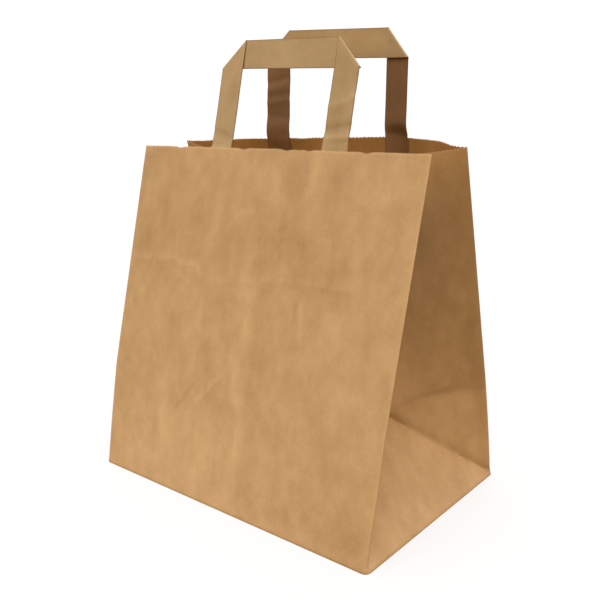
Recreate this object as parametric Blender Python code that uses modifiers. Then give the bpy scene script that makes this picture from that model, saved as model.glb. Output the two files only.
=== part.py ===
"""Paper carrier bag with a block bottom, tucked side gussets and two flat folded paper handles.

The bag is one sheet of kraft paper. It is drawn here as the sheet is folded: u runs round the
walls, v runs up them, and the folding rules put each point of the sheet in space. The handles and
their glued patches are set out on the panels by the same rules. Sizes are in millimetres until a
point goes into a mesh.
"""

import math

import bmesh
import bpy
import numpy as np

MM = 0.001

# The sheet
WIDTH = 260.0
DEPTH = 170.0
HEIGHT = 260.0
PAPER = 0.15
FOLD_HEIGHT = DEPTH / 2

# How the open bag stands: degrees from upright, inwards
FOOT_LEAN = math.radians(12.6)
FRONT_LEAN = math.radians(15.7)
BACK_LEAN = math.radians(13.8)

# How far each panel's middle swings back out, degrees at the given place across it
BACK_BOW = math.radians(5.2)
BACK_PUSH = math.radians(3.8)
BACK_PUSH_AT = 60.0
BACK_PUSH_REACH = 40.0
FRONT_BOW = math.radians(0.5)

# Soft folds: half the width that each fold's curve takes of the sheet
CORNER_REACH = 1.6
CORNER_REACH_FOOT = 5.0
GUSSET_REACH = 2.0
GUSSET_BULGE = 2.2

# Soft waves of each panel's free edge: place across, reach and swing towards +Y at the mouth
FRONT_WAVES = ((-47.0, 20.0, 1.8), (20.0, 24.0, -0.8), (68.0, 20.0, 1.6))
BACK_WAVES = ((-55.0, 25.0, -3.5), (100.0, 14.0, 4.5))
WAVE_DEPTH = 70.0
WAVE_POWER = 1.6
WAVE_END = 25.0

# The bottom's outer flaps: how much the rest of the bag stands above them, and their plies
FLOOR_RISE = 0.15
FLAP_PLY = 0.2
FLAP_EDGE_Y = 18.0
FLAP_SEAM = 0.4
FLAP_INSET = 0.5
FLAP_CORNER = 7.0

# The serrated cut along the mouth
TOOTH_PITCH = 3.0
TOOTH_DEPTH = 0.8
TOOTH_BAND = 2.4

# The handles: flat straps folded at 45 degrees at their two upper corners
STRAP_WIDTH = 20.5
STRAP_THICKNESS = 0.5
HANDLE_WIDTH = 125.0
HANDLE_OPENING = 56.0
FRONT_HANDLE_SHIFT = 6.0
BACK_HANDLE_SHIFT = 11.3
FRONT_HANDLE_LEAN = math.radians(14.9)
BACK_HANDLE_LEAN = math.radians(-3.0)
FRONT_HANDLE_TILT = math.radians(2.0)
BACK_HANDLE_TILT = math.radians(3.1)
HANDLE_BEND = 14.0
GLUE_GAP = 0.3
LAYER_BITE = 0.1
FOLD_EASE = 0.25

# The patches glued over the ends of the straps
PATCH_LENGTH = 190.0
PATCH_HEIGHT = 52.0
PATCH_DROP = 42.0
PATCH_RAMP = 4.0
STRAP_END_INSET = 8.0

# How finely the sheet is divided
FRONT_COLUMNS = 26
BACK_COLUMNS = 30
STRAP_COLUMNS = 4
BAR_COLUMNS = 10
PATCH_COLUMNS = 46
FOOT_ROWS = 6
WALL_ROWS = 11
TIP_WIDTH = 0.3

PANEL_LEAN = {-1: FRONT_LEAN, 1: BACK_LEAN}
KRAFT = (0.52, 0.32, 0.14, 1.0)
STRAP_KRAFT = (0.45, 0.30, 0.15, 1.0)


def clear_scene():
    """Starts from an empty scene."""
    for obj in list(bpy.data.objects):
        bpy.data.objects.remove(obj, do_unlink=True)


def smooth_step(t):
    """Rises from 0 to 1 with level ends."""
    t = min(max(t, 0.0), 1.0)
    return t * t * (3.0 - 2.0 * t)


def swing(side, x):
    """How far a panel's lean eases towards upright at x, in radians."""
    across = 1.0 - abs(2.0 * x / WIDTH) ** 2.0
    if side < 0:
        return FRONT_BOW * across
    push = math.exp(-(((x - BACK_PUSH_AT) / BACK_PUSH_REACH) ** 2))
    return (BACK_BOW * across + BACK_PUSH * push) * smooth_step(2.0 * (1.0 - abs(2.0 * x / WIDTH)))


def edge_wave(side, x, v):
    """How far a panel's free edge swings towards +Y, fading down the sheet and at its side folds."""
    ends = smooth_step((WIDTH / 2 - abs(x)) / WAVE_END)
    fade = max(1.0 - (HEIGHT - v) / WAVE_DEPTH, 0.0) ** WAVE_POWER
    waves = FRONT_WAVES if side < 0 else BACK_WAVES
    return ends * fade * sum(swung * math.exp(-(((x - at) / reach) ** 2)) for at, reach, swung in waves)


def panel_point(side, x, v):
    """A point of the front (side -1) or back (side +1) panel, v up the sheet."""
    low = min(v, FOLD_HEIGHT)
    high = max(v - FOLD_HEIGHT, 0.0)
    lean = PANEL_LEAN[side] - swing(side, x)
    inward = low * math.sin(FOOT_LEAN) + high * math.sin(lean)
    rise = FLOOR_RISE + low * math.cos(FOOT_LEAN) + high * math.cos(lean)
    return np.array([x, side * (DEPTH / 2 - inward) + edge_wave(side, x, v), rise])


def foot_tilt():
    """The tilt of the gusset's triangle, set by the panels' lean: no paper there stretches."""
    return math.acos((1.0 - math.sin(FOOT_LEAN)) / math.cos(FOOT_LEAN))


def inner_fold():
    """The gusset's inner fold above its apex, as rows of v, inset, y and z.

    Each point lies half a gusset from both panels' edges, and the fold keeps its own length.
    """
    steps = 60
    rows = np.linspace(FOLD_HEIGHT, HEIGHT, steps + 1)
    tilt = foot_tilt()
    inset, height = FOLD_HEIGHT * math.sin(tilt), FLOOR_RISE + FOLD_HEIGHT * math.cos(tilt)
    found = [(FOLD_HEIGHT, inset, 0.0, height)]
    for before, v in zip(rows[:-1], rows[1:]):
        front, back = panel_point(-1, WIDTH / 2, v), panel_point(1, WIDTH / 2, v)
        middle, half = (front + back) / 2, np.linalg.norm(back - front) / 2
        reach = math.sqrt((DEPTH / 2) ** 2 - half**2)
        _, last_inset, last_y, last_z = found[-1]
        step = math.sqrt((v - before) ** 2 - (middle[1] - last_y) ** 2)
        away = math.hypot(last_inset, middle[2] - last_z)
        along = (step**2 - reach**2 + away**2) / (2 * away)
        off = math.sqrt(max(step**2 - along**2, 0.0))
        toward = (-last_inset / away, (middle[2] - last_z) / away)
        inset = last_inset + along * toward[0] + off * toward[1]
        height = last_z + along * toward[1] - off * toward[0]
        found.append((v, inset, middle[1], height))
    return np.array(found)


INNER_FOLD = inner_fold()


def gusset_point(s, v):
    """A point of a gusset as inset from the bag's side, y and z; s runs from the front fold."""
    ends = {}
    for side in (-1, 1):
        edge = panel_point(side, WIDTH / 2, v)
        ends[side] = np.array([0.0, edge[1], edge[2]])
    if v > FOLD_HEIGHT:
        middle = np.array([np.interp(v, INNER_FOLD[:, 0], INNER_FOLD[:, k]) for k in (1, 2, 3)])
        side = -1 if s < DEPTH / 2 else 1
        share = abs(s - DEPTH / 2) / (DEPTH / 2)
        point = middle + (ends[side] - middle) * share
        climb = (v - FOLD_HEIGHT) / (HEIGHT - FOLD_HEIGHT)
        bulge = GUSSET_BULGE * math.sin(math.pi * share) * math.sin(math.pi * climb)
        return point - np.array([bulge, 0.0, 0.0])
    tilt = foot_tilt()
    height = FLOOR_RISE + v * math.cos(tilt)
    crease = {side: np.array([v * math.sin(tilt), side * (DEPTH / 2 - v), height]) for side in (-1, 1)}
    if v <= s <= DEPTH - v:
        share = (s - v) / max(DEPTH - 2 * v, 1e-9)
        return crease[-1] + (crease[1] - crease[-1]) * share
    side = -1 if s < v else 1
    share = (s if side < 0 else DEPTH - s) / max(v, 1e-9)
    return ends[side] + (crease[side] - ends[side]) * share


def sharp_wall_point(u, v):
    """A point of the walls with knife-sharp folds: u runs round from the front left fold."""
    u = u % (2 * (WIDTH + DEPTH))
    if u < WIDTH:
        return panel_point(-1, u - WIDTH / 2, v)
    if u < WIDTH + DEPTH:
        inset, y, z = gusset_point(u - WIDTH, v)
        return np.array([WIDTH / 2 - inset, y, z])
    if u < 2 * WIDTH + DEPTH:
        return panel_point(1, WIDTH / 2 - (u - WIDTH - DEPTH), v)
    inset, y, z = gusset_point(2 * (WIDTH + DEPTH) - u, v)
    return np.array([inset - WIDTH / 2, y, z])


def corner_reach(v):
    """Half the width of the corner folds: wide and soft at the foot, tight above."""
    fade = max(1.0 - v / FOLD_HEIGHT, 0.0) ** 2
    return CORNER_REACH + (CORNER_REACH_FOOT - CORNER_REACH) * fade


def wall_point(u, v):
    """A point of the walls, with a quadratic curve across each upright fold."""
    around = 2 * (WIDTH + DEPTH)
    corners = [(at, corner_reach(v)) for at in (0.0, WIDTH, WIDTH + DEPTH, 2 * WIDTH + DEPTH, around)]
    tight = min(GUSSET_REACH, max(v - FOLD_HEIGHT, 0.0) / 2)
    inner = [(at, tight) for at in (WIDTH + DEPTH / 2, around - DEPTH / 2)]
    for at, reach in corners + inner:
        if abs(u - at) < reach:
            t = (u - at + reach) / (2 * reach)
            before, corner, after = (sharp_wall_point(at + k * reach, v) for k in (-1, 0, 1))
            return (1 - t) ** 2 * before + 2 * t * (1 - t) * corner + t**2 * after
    return sharp_wall_point(u, v)


def column_places(v):
    """Where the sheet's columns stand at height v, and which of them lie inside a gusset."""
    reach = corner_reach(v)
    step = FOLD_HEIGHT / FOOT_ROWS
    around = 2 * (WIDTH + DEPTH)
    places = []
    for start, length in ((0.0, WIDTH), (WIDTH, DEPTH), (WIDTH + DEPTH, WIDTH), (2 * WIDTH + DEPTH, DEPTH)):
        places += [start, start + reach / 2, start + reach]
        if length == WIDTH:
            columns = FRONT_COLUMNS if start == 0.0 else BACK_COLUMNS
            inside = np.linspace(start + reach, start + length - reach, columns + 1)[1:-1]
        else:
            middle = start + DEPTH / 2
            inside = np.array([start + k * step for k in range(1, 2 * FOOT_ROWS)])
            inside = np.sort(np.append(inside, [middle - GUSSET_REACH, middle + GUSSET_REACH]))
        places += list(inside)
        places += [start + length - reach, start + length - reach / 2]
    return np.array(places) % around


def build_body(collection, helpers):
    """The bag: one folded sheet, from the flat bottom to the serrated mouth."""
    mesh = bmesh.new()
    rows = np.concatenate(
        [
            np.linspace(0.0, FOLD_HEIGHT, FOOT_ROWS + 1),
            np.linspace(FOLD_HEIGHT, HEIGHT - TOOTH_BAND, WALL_ROWS + 1)[1:],
        ]
    )
    grid = []
    for v in rows:
        grid.append([mesh.verts.new(wall_point(u, v) * MM) for u in column_places(v)])
    count = len(grid[0])
    for low, high, bottom, top in zip(rows[:-1], rows[1:], grid[:-1], grid[1:]):
        places = column_places(low)
        for k in range(count):
            after = (k + 1) % count
            corners = (bottom[k], bottom[after], top[after], top[k])
            slant = crease_slant(places[k], places[after], low, high)
            if slant > 0:
                mesh.faces.new((corners[0], corners[1], corners[2]))
                mesh.faces.new((corners[0], corners[2], corners[3]))
            elif slant < 0:
                mesh.faces.new((corners[0], corners[1], corners[3]))
                mesh.faces.new((corners[1], corners[2], corners[3]))
            else:
                mesh.faces.new(corners)
    mesh.faces.new(list(reversed(grid[0])))
    cut_mouth(mesh, grid[-1])
    body = mesh_object("bag_body", mesh, collection)
    wall = body.modifiers.new("paper", "SOLIDIFY")
    wall.thickness = PAPER * MM
    wall.offset = -1.0
    for side, word in ((-1, "front"), (1, "back")):
        flap = mesh_object(f"bottom_{word}_flap", flap_mesh(side), helpers)
        join_to(body, flap)
    return body


def flap_mesh(side):
    """An outer flap of the bottom: its ends are folds at 45 degrees from the bottom's corners."""
    long_x, long_y = WIDTH / 2 - FLAP_INSET, DEPTH / 2 - FLAP_INSET
    edge = FLAP_EDGE_Y if side < 0 else FLAP_EDGE_Y + FLAP_SEAM
    reach = long_y - side * edge
    corner = FLAP_CORNER / 2
    half = [(long_x - reach, edge), (long_x - corner, side * (long_y - corner)), (long_x - FLAP_CORNER, side * long_y)]
    outline = half + [(-x, y) for x, y in reversed(half)]
    mesh = bmesh.new()
    low, high = ([mesh.verts.new(np.array([x, y, z]) * MM) for x, y in outline] for z in (0.0, FLAP_PLY))
    mesh.faces.new(low[::-1])
    mesh.faces.new(high)
    for k in range(len(outline)):
        after = (k + 1) % len(outline)
        mesh.faces.new((low[k], low[after], high[after], high[k]))
    bmesh.ops.recalc_face_normals(mesh, faces=mesh.faces)
    return mesh


def join_to(target, helper):
    """Makes one solid of the target and a helper, which then isn't shown by itself."""
    helper.hide_render = True
    helper.display_type = "WIRE"
    join = target.modifiers.new(helper.name, "BOOLEAN")
    join.operation = "UNION"
    join.object = helper


def crease_slant(start, end, low, high):
    """Which way a cell's crease runs: 1 up to the right, -1 up to the left, 0 where it has none."""
    if high > FOLD_HEIGHT + 1e-6:
        return 0
    around = 2 * (WIDTH + DEPTH)
    end = end if end > start else end + around
    for first in (WIDTH, 2 * WIDTH + DEPTH):
        s, s_end = start - first, end - first
        if -1e-6 < s and s_end < DEPTH + 1e-6:
            if abs(s - low) < 1e-6:
                return 1
            if abs((DEPTH - s_end) - low) < 1e-6:
                return -1
    return 0


def cut_mouth(mesh, top):
    """Closes the sheet with its serrated edge: teeth along every stretch between two columns."""
    around = 2 * (WIDTH + DEPTH)
    places = column_places(HEIGHT)
    valleys = [mesh.verts.new(wall_point(u, HEIGHT - TOOTH_DEPTH) * MM) for u in places]
    for k, start in enumerate(places):
        after = (k + 1) % len(places)
        end = places[after] if places[after] > start else places[after] + around
        teeth = max(1, round((end - start) / TOOTH_PITCH))
        edge = [valleys[k]]
        for half in range(1, 2 * teeth):
            u = start + (end - start) * half / (2 * teeth)
            v = HEIGHT if half % 2 else HEIGHT - TOOTH_DEPTH
            edge.append(mesh.verts.new(wall_point(u, v) * MM))
        edge.append(valleys[after])
        mesh.faces.new([top[k], top[after], *reversed(edge)])


def inward_normal(side, x, v):
    """The unit normal of a panel, pointing into the bag."""
    step = 1.0
    across = panel_point(side, x + step, v) - panel_point(side, x - step, v)
    up = panel_point(side, x, v + step / 2) - panel_point(side, x, v - step / 2)
    normal = np.cross(across, up)
    return -side * np.sign(normal[1]) * normal / np.linalg.norm(normal)


def handle_shift(side):
    """How far a handle sits off the panel's middle."""
    return FRONT_HANDLE_SHIFT if side < 0 else BACK_HANDLE_SHIFT


def handle_point(side, x, s, depth):
    """A point of a handle: x across the bag, s above the mouth, depth in from its outer face."""
    shift = handle_shift(side)
    lean, tilt = (FRONT_HANDLE_LEAN, FRONT_HANDLE_TILT) if side < 0 else (BACK_HANDLE_LEAN, BACK_HANDLE_TILT)
    inset = PAPER + GLUE_GAP + depth
    if s <= 0:
        return panel_point(side, x, HEIGHT + s) + inward_normal(side, x, HEIGHT + s) * inset
    base = panel_point(side, x, HEIGHT)
    legs = [panel_point(side, shift + k * (HANDLE_WIDTH - STRAP_WIDTH) / 2, HEIGHT) for k in (-1, 1)]
    line = legs[0] + (legs[1] - legs[0]) * (x - legs[0][0]) / (legs[1][0] - legs[0][0])
    settle = smooth_step(s / HANDLE_BEND)
    base = base + (line - base) * settle
    start = PANEL_LEAN[side] - swing(side, x)
    turn = start + (lean - start) * settle
    rise = np.array([0.0, -side * math.sin(turn), math.cos(turn)])
    normal = np.array([0.0, -side * math.cos(turn), -math.sin(turn)])
    climb = s - (x - shift) * math.tan(tilt) * settle
    return base + rise * climb + normal * inset


def plate(name, rows, columns, outer, inner, place):
    """A closed plate: rows of (s, left, right) set out by place(x, s, depth)."""
    mesh = bmesh.new()
    layers = []
    for depth in (outer, inner):
        layer = []
        for s, left, right in rows:
            xs = np.linspace(left, right, columns + 1)
            layer.append([mesh.verts.new(place(x, s, depth(x)) * MM) for x in xs])
        layers.append(layer)
    last = len(rows) - 1
    for r in range(last):
        for c in range(columns):
            for layer, flip in zip(layers, (False, True)):
                ring = [layer[r][c], layer[r][c + 1], layer[r + 1][c + 1], layer[r + 1][c]]
                mesh.faces.new(ring[::-1] if flip else ring)
        for c in (0, columns):
            ring = [layers[0][r][c], layers[0][r + 1][c], layers[1][r + 1][c], layers[1][r][c]]
            mesh.faces.new(ring if c == 0 else ring[::-1])
    for c in range(columns):
        for r in (0, last):
            ring = [layers[0][r][c], layers[1][r][c], layers[1][r][c + 1], layers[0][r][c + 1]]
            mesh.faces.new(ring if r == 0 else ring[::-1])
    bmesh.ops.recalc_face_normals(mesh, faces=mesh.faces)
    return mesh


def build_handle(name, side, collection, helpers):
    """A flat strap folded at 45 degrees at its two corners, the legs outside and the bar inside."""
    shift = handle_shift(side)
    half = HANDLE_WIDTH / 2
    end = -(PATCH_DROP + PATCH_HEIGHT - STRAP_END_INSET)
    top = HANDLE_OPENING + STRAP_WIDTH

    def place(x, s, depth):
        return handle_point(side, x, s, depth)

    bar_rows = []
    for s in np.linspace(HANDLE_OPENING + FOLD_EASE, top, 3):
        reach = half - s + HANDLE_OPENING
        bar_rows.append((s, shift - reach, shift + reach))
    bar_outer = STRAP_THICKNESS - LAYER_BITE
    bar_mesh = plate(name, bar_rows, BAR_COLUMNS, lambda x: bar_outer, lambda x: bar_outer + STRAP_THICKNESS, place)
    handle = mesh_object(name, bar_mesh, collection)
    for k in (-1, 1):
        outside, inside = shift + k * half, shift + k * (half - STRAP_WIDTH)
        leg_rows = [(s, min(outside, inside), max(outside, inside)) for s in leg_stations(end)]
        for s in (HANDLE_OPENING + STRAP_WIDTH / 2, top - TIP_WIDTH):
            edge = outside - k * (s - HANDLE_OPENING - FOLD_EASE)
            leg_rows.append((s, min(edge, inside), max(edge, inside)))
        leg_mesh = plate(name, leg_rows, STRAP_COLUMNS, lambda x: 0.0, lambda x: STRAP_THICKNESS, place)
        join_to(handle, mesh_object(f"{name}_leg_{'left' if k < 0 else 'right'}", leg_mesh, helpers))
    return handle


def leg_stations(end):
    """Heights of a leg's rows: few along its straight runs, close where it bends at the mouth."""
    below = list(np.linspace(end, 0.0, 6))
    bend = list(np.linspace(0.0, HANDLE_BEND, 5)[1:])
    return below + bend + list(np.linspace(HANDLE_BEND, HANDLE_OPENING, 4)[1:])


def build_patch(name, side, collection):
    """The paper patch glued inside a panel, over the ends of the handle's legs."""
    shift = handle_shift(side)
    half = HANDLE_WIDTH / 2
    flat = 0.0
    raised = STRAP_THICKNESS + GLUE_GAP

    def over_strap(x):
        away = abs(abs(x - shift) - (half - STRAP_WIDTH / 2)) - STRAP_WIDTH / 2
        return flat + (raised - flat) * smooth_step(1.0 - (away - GLUE_GAP) / PATCH_RAMP)

    foot = -PATCH_DROP - PATCH_HEIGHT
    rows = [(foot + k * PATCH_HEIGHT / 4, shift - PATCH_LENGTH / 2, shift + PATCH_LENGTH / 2) for k in range(5)]
    mesh = plate(name, rows, PATCH_COLUMNS, over_strap, lambda x: over_strap(x) + PAPER, lambda x, s, d: handle_point(side, x, s, d))
    return mesh_object(name, mesh, collection)


def mesh_object(name, mesh, collection):
    """Turns a bmesh into an object of the collection."""
    data = bpy.data.meshes.new(name)
    mesh.to_mesh(data)
    mesh.free()
    obj = bpy.data.objects.new(name, data)
    collection.objects.link(obj)
    return obj


def paper_material(name, color):
    """Uncoated kraft paper."""
    material = bpy.data.materials.new(name)
    material.use_nodes = True
    surface = material.node_tree.nodes["Principled BSDF"]
    surface.inputs["Base Color"].default_value = color
    surface.inputs["Roughness"].default_value = 0.85
    surface.inputs["Metallic"].default_value = 0.0
    return material


def main():
    clear_scene()
    parts = bpy.data.collections.new("paper_carrier_bag")
    helpers = bpy.data.collections.new("helpers")
    for collection in (parts, helpers):
        bpy.context.scene.collection.children.link(collection)
    body = build_body(parts, helpers)
    body.data.materials.append(paper_material("bag_kraft", KRAFT))
    strap = paper_material("strap_kraft", STRAP_KRAFT)
    patch = paper_material("patch_kraft", KRAFT)
    for side, word in ((-1, "front"), (1, "back")):
        build_handle(f"{word}_handle", side, parts, helpers).data.materials.append(strap)
        build_patch(f"{word}_handle_patch", side, parts).data.materials.append(patch)


main()
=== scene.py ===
"""Looks of a brown kraft paper carrier bag with a block bottom and two flat folded paper handles.

The bag is one folded sheet. Its surface is a function of two lengths on the sheet: u runs round the
walls from the front left fold, v runs up from the bottom fold. Straps and patches are set on the same
sheet, so they follow its bows and waves. Lengths are millimetres until a mesh is made.
"""

import logging
import math
from collections.abc import Callable
from dataclasses import dataclass, field
from enum import IntEnum

import bpy
import numpy as np
from mathutils import Matrix, Vector

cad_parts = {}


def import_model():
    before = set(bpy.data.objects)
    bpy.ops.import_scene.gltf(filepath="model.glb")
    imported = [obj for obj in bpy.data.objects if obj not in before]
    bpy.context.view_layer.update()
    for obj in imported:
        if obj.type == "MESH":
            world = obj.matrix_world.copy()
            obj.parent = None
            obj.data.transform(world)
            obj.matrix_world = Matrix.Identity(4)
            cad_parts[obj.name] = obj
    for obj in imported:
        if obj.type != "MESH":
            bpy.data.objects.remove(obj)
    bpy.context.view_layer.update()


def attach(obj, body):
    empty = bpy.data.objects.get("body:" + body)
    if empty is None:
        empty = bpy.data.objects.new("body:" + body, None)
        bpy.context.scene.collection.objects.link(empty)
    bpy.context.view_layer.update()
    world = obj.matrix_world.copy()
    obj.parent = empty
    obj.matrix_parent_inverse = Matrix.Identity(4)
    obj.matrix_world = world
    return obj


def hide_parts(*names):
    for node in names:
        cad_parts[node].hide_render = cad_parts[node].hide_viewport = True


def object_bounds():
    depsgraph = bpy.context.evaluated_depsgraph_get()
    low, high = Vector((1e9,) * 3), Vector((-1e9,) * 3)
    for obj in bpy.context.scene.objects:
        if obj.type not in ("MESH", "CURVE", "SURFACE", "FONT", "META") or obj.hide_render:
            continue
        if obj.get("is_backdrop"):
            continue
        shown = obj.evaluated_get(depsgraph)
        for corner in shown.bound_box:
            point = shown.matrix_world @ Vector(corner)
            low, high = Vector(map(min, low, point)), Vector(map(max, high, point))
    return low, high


MM = 0.001
SHEET_SPLIT = math.radians(48)
PLY_SPLIT = math.radians(40)
LOG = logging.getLogger("paper_bag")


class Side(IntEnum):
    """The two wide panels, as the sign of their Y."""

    FRONT = -1
    BACK = 1


def smooth_step(t: np.ndarray) -> np.ndarray:
    """Rises from 0 to 1 with level ends."""
    t = np.clip(t, 0.0, 1.0)
    return t * t * (3.0 - 2.0 * t)


def unit(vectors: np.ndarray) -> np.ndarray:
    """The same directions with length 1."""
    return vectors / np.maximum(np.linalg.norm(vectors, axis=-1, keepdims=True), 1e-12)


@dataclass(frozen=True)
class Mark:
    """A crease or dent pressed into flat paper, along a line on the sheet.

    Attributes:
        points: The line's corners as (across, up) in millimetres.
        height: How far the paper stands out along the line; negative is pressed in.
        width: Half the width of the mark's rounded section.
        step: Share of the height that stays on as a level step to the line's right.
        light: How much lighter the paper is painted along the line, a painted highlight; negative is painted
            shade.
    """

    points: tuple[tuple[float, float], ...]
    height: float
    width: float
    step: float = 0.0
    light: float = 0.0

    def distances(self, a: np.ndarray, b: np.ndarray) -> tuple[np.ndarray, np.ndarray]:
        """Distances to the nearest stretch of the line.

        Args:
            a: Places across the sheet.
            b: Places up the sheet.

        Returns:
            The distance, and the signed distance with right of the line positive.
        """
        nearest = np.full(np.shape(a), 1e9)
        beside = np.zeros(np.shape(a))
        for (a0, b0), (a1, b1) in zip(self.points[:-1], self.points[1:]):
            run = np.array([a1 - a0, b1 - b0])
            length = float(np.hypot(*run))
            along = ((a - a0) * run[0] + (b - b0) * run[1]) / length**2
            inside = np.clip(along, 0.0, 1.0)
            away = np.hypot(a - a0 - inside * run[0], b - b0 - inside * run[1])
            across = ((a - a0) * run[1] - (b - b0) * run[0]) / length
            closer = away < nearest
            nearest = np.where(closer, away, nearest)
            beside = np.where(closer, across, beside)
        return nearest, beside

    def rub_and_shade(self, a: np.ndarray, b: np.ndarray) -> np.ndarray:
        """The mark's painted highlight at each (a, b); negative is painted shade."""
        return self.light * np.exp(-((self.distances(a, b)[0] / (0.8 * self.width)) ** 2))

    def relief(self, a: np.ndarray, b: np.ndarray) -> np.ndarray:
        """How far the mark moves the paper at each (a, b).

        The section is a bell curve of the distance to the nearest stretch of the line.

        Args:
            a: Places across the sheet.
            b: Places up the sheet.

        Returns:
            Millimetres outwards.
        """
        nearest, beside = self.distances(a, b)
        bell = np.exp(-((nearest / self.width) ** 2))
        if not self.step:
            return self.height * bell
        fade = np.exp(-((nearest / (6 * self.width)) ** 2))
        level = self.step * smooth_step(0.5 + beside / (2 * self.width)) * fade
        return self.height * (bell * (1 - self.step) + level)


@dataclass(frozen=True)
class RubAndShade:
    """How the paper's lightness changes near a fold or an edge, as a bell curve: worn paper where lighter,
    painted shade where darker.

    Attributes:
        light: The change on the line itself; negative is darker.
        width: How far it reaches, in millimetres.
    """

    light: float
    width: float

    def at(self, distance: np.ndarray) -> np.ndarray:
        """The change at a distance from the line."""
        return self.light * np.exp(-((distance / self.width) ** 2))


# Lighter bands are worn paper along the folds and the mouth. FOOT_SHADE, CREASE_SHADE, CORNER_SHADE and
# STRAP_EDGE_SHADE are painted shade: at the foot, above the gussets' creases, in their bottom corners and
# along the straps' edges.
CORNER_RUB = RubAndShade(0.25, 2.5)
FOOT_SHADE = RubAndShade(-1.6, 1.1)
RIM_RUB = RubAndShade(1.2, 1.0)
CREASE_SHADE = RubAndShade(-0.6, 3.6)
CORNER_SHADE = RubAndShade(-2.0, 2.0)
KNEE_RUB = RubAndShade(0.45, 2.2)
INNER_FOLD_RUB = RubAndShade(0.2, 1.2)
STRAP_EDGE_SHADE = RubAndShade(-2.0, 0.4)


@dataclass(frozen=True)
class Blot:
    """A soft area of the paper that is lighter or darker.

    Attributes:
        u: Its middle across the sheet.
        v: Its middle up the sheet.
        wide: Half its width.
        tall: Half its height.
        light: How much lighter it is; negative is darker.
        boxy: 2 fades like a bell, more has flatter middles and clearer edges.
    """

    u: float
    v: float
    wide: float
    tall: float
    light: float
    boxy: float = 2.0

    def shade(self, u: np.ndarray, v: np.ndarray) -> np.ndarray:
        """The blot's lightness at each (u, v)."""
        across = np.abs((u - self.u) / self.wide) ** self.boxy
        return self.light * np.exp(-across - np.abs((v - self.v) / self.tall) ** self.boxy)


# Soft lighter and darker areas of the front panel: partly painted light and shade of the panel's uneven
# lighting, partly the paper's own uneven tone.
FRONT_BLOTS = (
    Blot(130, 241, 12, 13, 0.50),
    Blot(160, 240, 7, 17, -0.45),
    Blot(174, 243, 4, 15, 0.35),
    Blot(193, 238, 11, 22, -0.35),
    Blot(227, 230, 13, 9, 0.35),
    Blot(165, 191, 66, 27, -0.28, 6.0),
    Blot(117, 213, 11, 4, 0.35),
    Blot(10, 247, 13, 12, -0.45),
    Blot(28, 195, 34, 32, -0.28, 3.0),
    Blot(80, 225, 9, 34, -0.28, 4.0),
    Blot(75, 42, 55, 24, 0.35, 3.0),
    Blot(238, 12, 55, 15, -0.60),
    Blot(205, 40, 40, 18, -0.20),
    Blot(134, 140, 3.5, 19, 0.45),
    Blot(131, 100, 3.5, 20, 0.45),
    Blot(139, 50, 5, 26, 0.50),
    Blot(146, 111, 3, 22, -0.40),
    Blot(169, 126, 5, 8, -0.25),
)


@dataclass(frozen=True)
class Wave:
    """A soft swing of a panel's free top edge, strongest at the mouth.

    Attributes:
        at: Its middle across the panel.
        reach: How far it reaches to each side.
        height: How far the edge swings towards +Y.
        depth: How far down the sheet it fades out.
    """

    at: float
    reach: float
    height: float
    depth: float = 70.0


FRONT_WAVES = (
    Wave(-47, 20, 1.8),
    Wave(20, 24, -0.8),
    Wave(68, 20, 1.6),
    Wave(-24, 6, 0.9, 35),
    Wave(39, 7, -0.6, 40),
)
BACK_WAVES = (
    Wave(-55, 25, -3.0),
    Wave(100, 20, 8.5),
    Wave(-15, 9, -1.6, 40),
    Wave(29, 8, -1.6, 45),
    Wave(62, 12, 1.6, 50),
)

# The creases and dents of the front panel, with painted highlights and shade along them.
FRONT_MARKS = (
    Mark(((4, 170), (25, 172)), 0.24, 1.6, 0.3, 0.45),
    Mark(((36, 172), (50, 174), (62, 170)), 0.18, 1.6, 0.3, 0.40),
    Mark(((64, 173), (76, 170), (84, 164)), 0.18, 1.8, 0.3, 0.35),
    Mark(((52, 166), (62, 161), (72, 158)), 0.14, 2.0, 0.3, 0.30),
    Mark(((104, 161), (133, 164), (160, 168), (222, 170)), 0.30, 1.8, 0.35, -0.30),
    Mark(((90, 216), (130, 215), (159, 219)), 0.10, 1.8, 0.4, 0.15),
    Mark(((136, 154), (133, 118), (130, 83), (136, 77), (139, 45), (143, 14)), 0.55, 3.2, 0.25),
    Mark(((135, 197), (139, 179)), -0.12, 1.3, 0.0, -0.40),
    Mark(((153, 204), (157, 184)), -0.12, 1.3, 0.0, -0.40),
    Mark(((197, 208), (201, 189)), -0.12, 1.3, 0.0, -0.35),
    Mark(((175, 157), (176, 144)), -0.28, 1.6, 0.0, -0.60),
    Mark(((180, 156), (183, 135)), 0.26, 1.6, 0.0, 0.50),
    Mark(((116, 94), (96, 72)), 0.22, 2.2, 0.0, 0.40),
    Mark(((98, 92), (76, 63)), -0.20, 2.0, 0.0, -0.35),
    Mark(((88, 147), (89, 122)), 0.16, 2.4, 0.0, 0.30),
)

# The crumples of the straps, from the handle's middle and up from the mouth, with painted highlights and
# shade along them.
FRONT_STRAP_MARKS = (
    Mark(((41, 30), (63, 38)), 0.35, 2.5, 0.0, 0.5),
    Mark(((41, 15), (63, 19)), -0.35, 2.5, 0.0, -0.4),
    Mark(((41, 9), (63, 11)), 0.35, 2.5, 0.0, 0.7),
    Mark(((-63, 10), (-41, 6)), -0.35, 2.0, 0.0, -0.4),
    # Painted shade down the front strap's right leg, with no relief.
    Mark(((52, 4), (52, 52)), 0.0, 14.0, 0.0, -0.45),
)
BACK_STRAP_MARKS = (
    Mark(((-63, 36), (-41, 41)), 0.40, 3.0, 0.0, 1.2),
    Mark(((-63, 23), (-41, 27)), -0.35, 2.5, 0.0, 0.8),
    Mark(((-63, 30), (-41, 33)), 0.0, 3.0, 0.0, -0.5),
)

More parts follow.
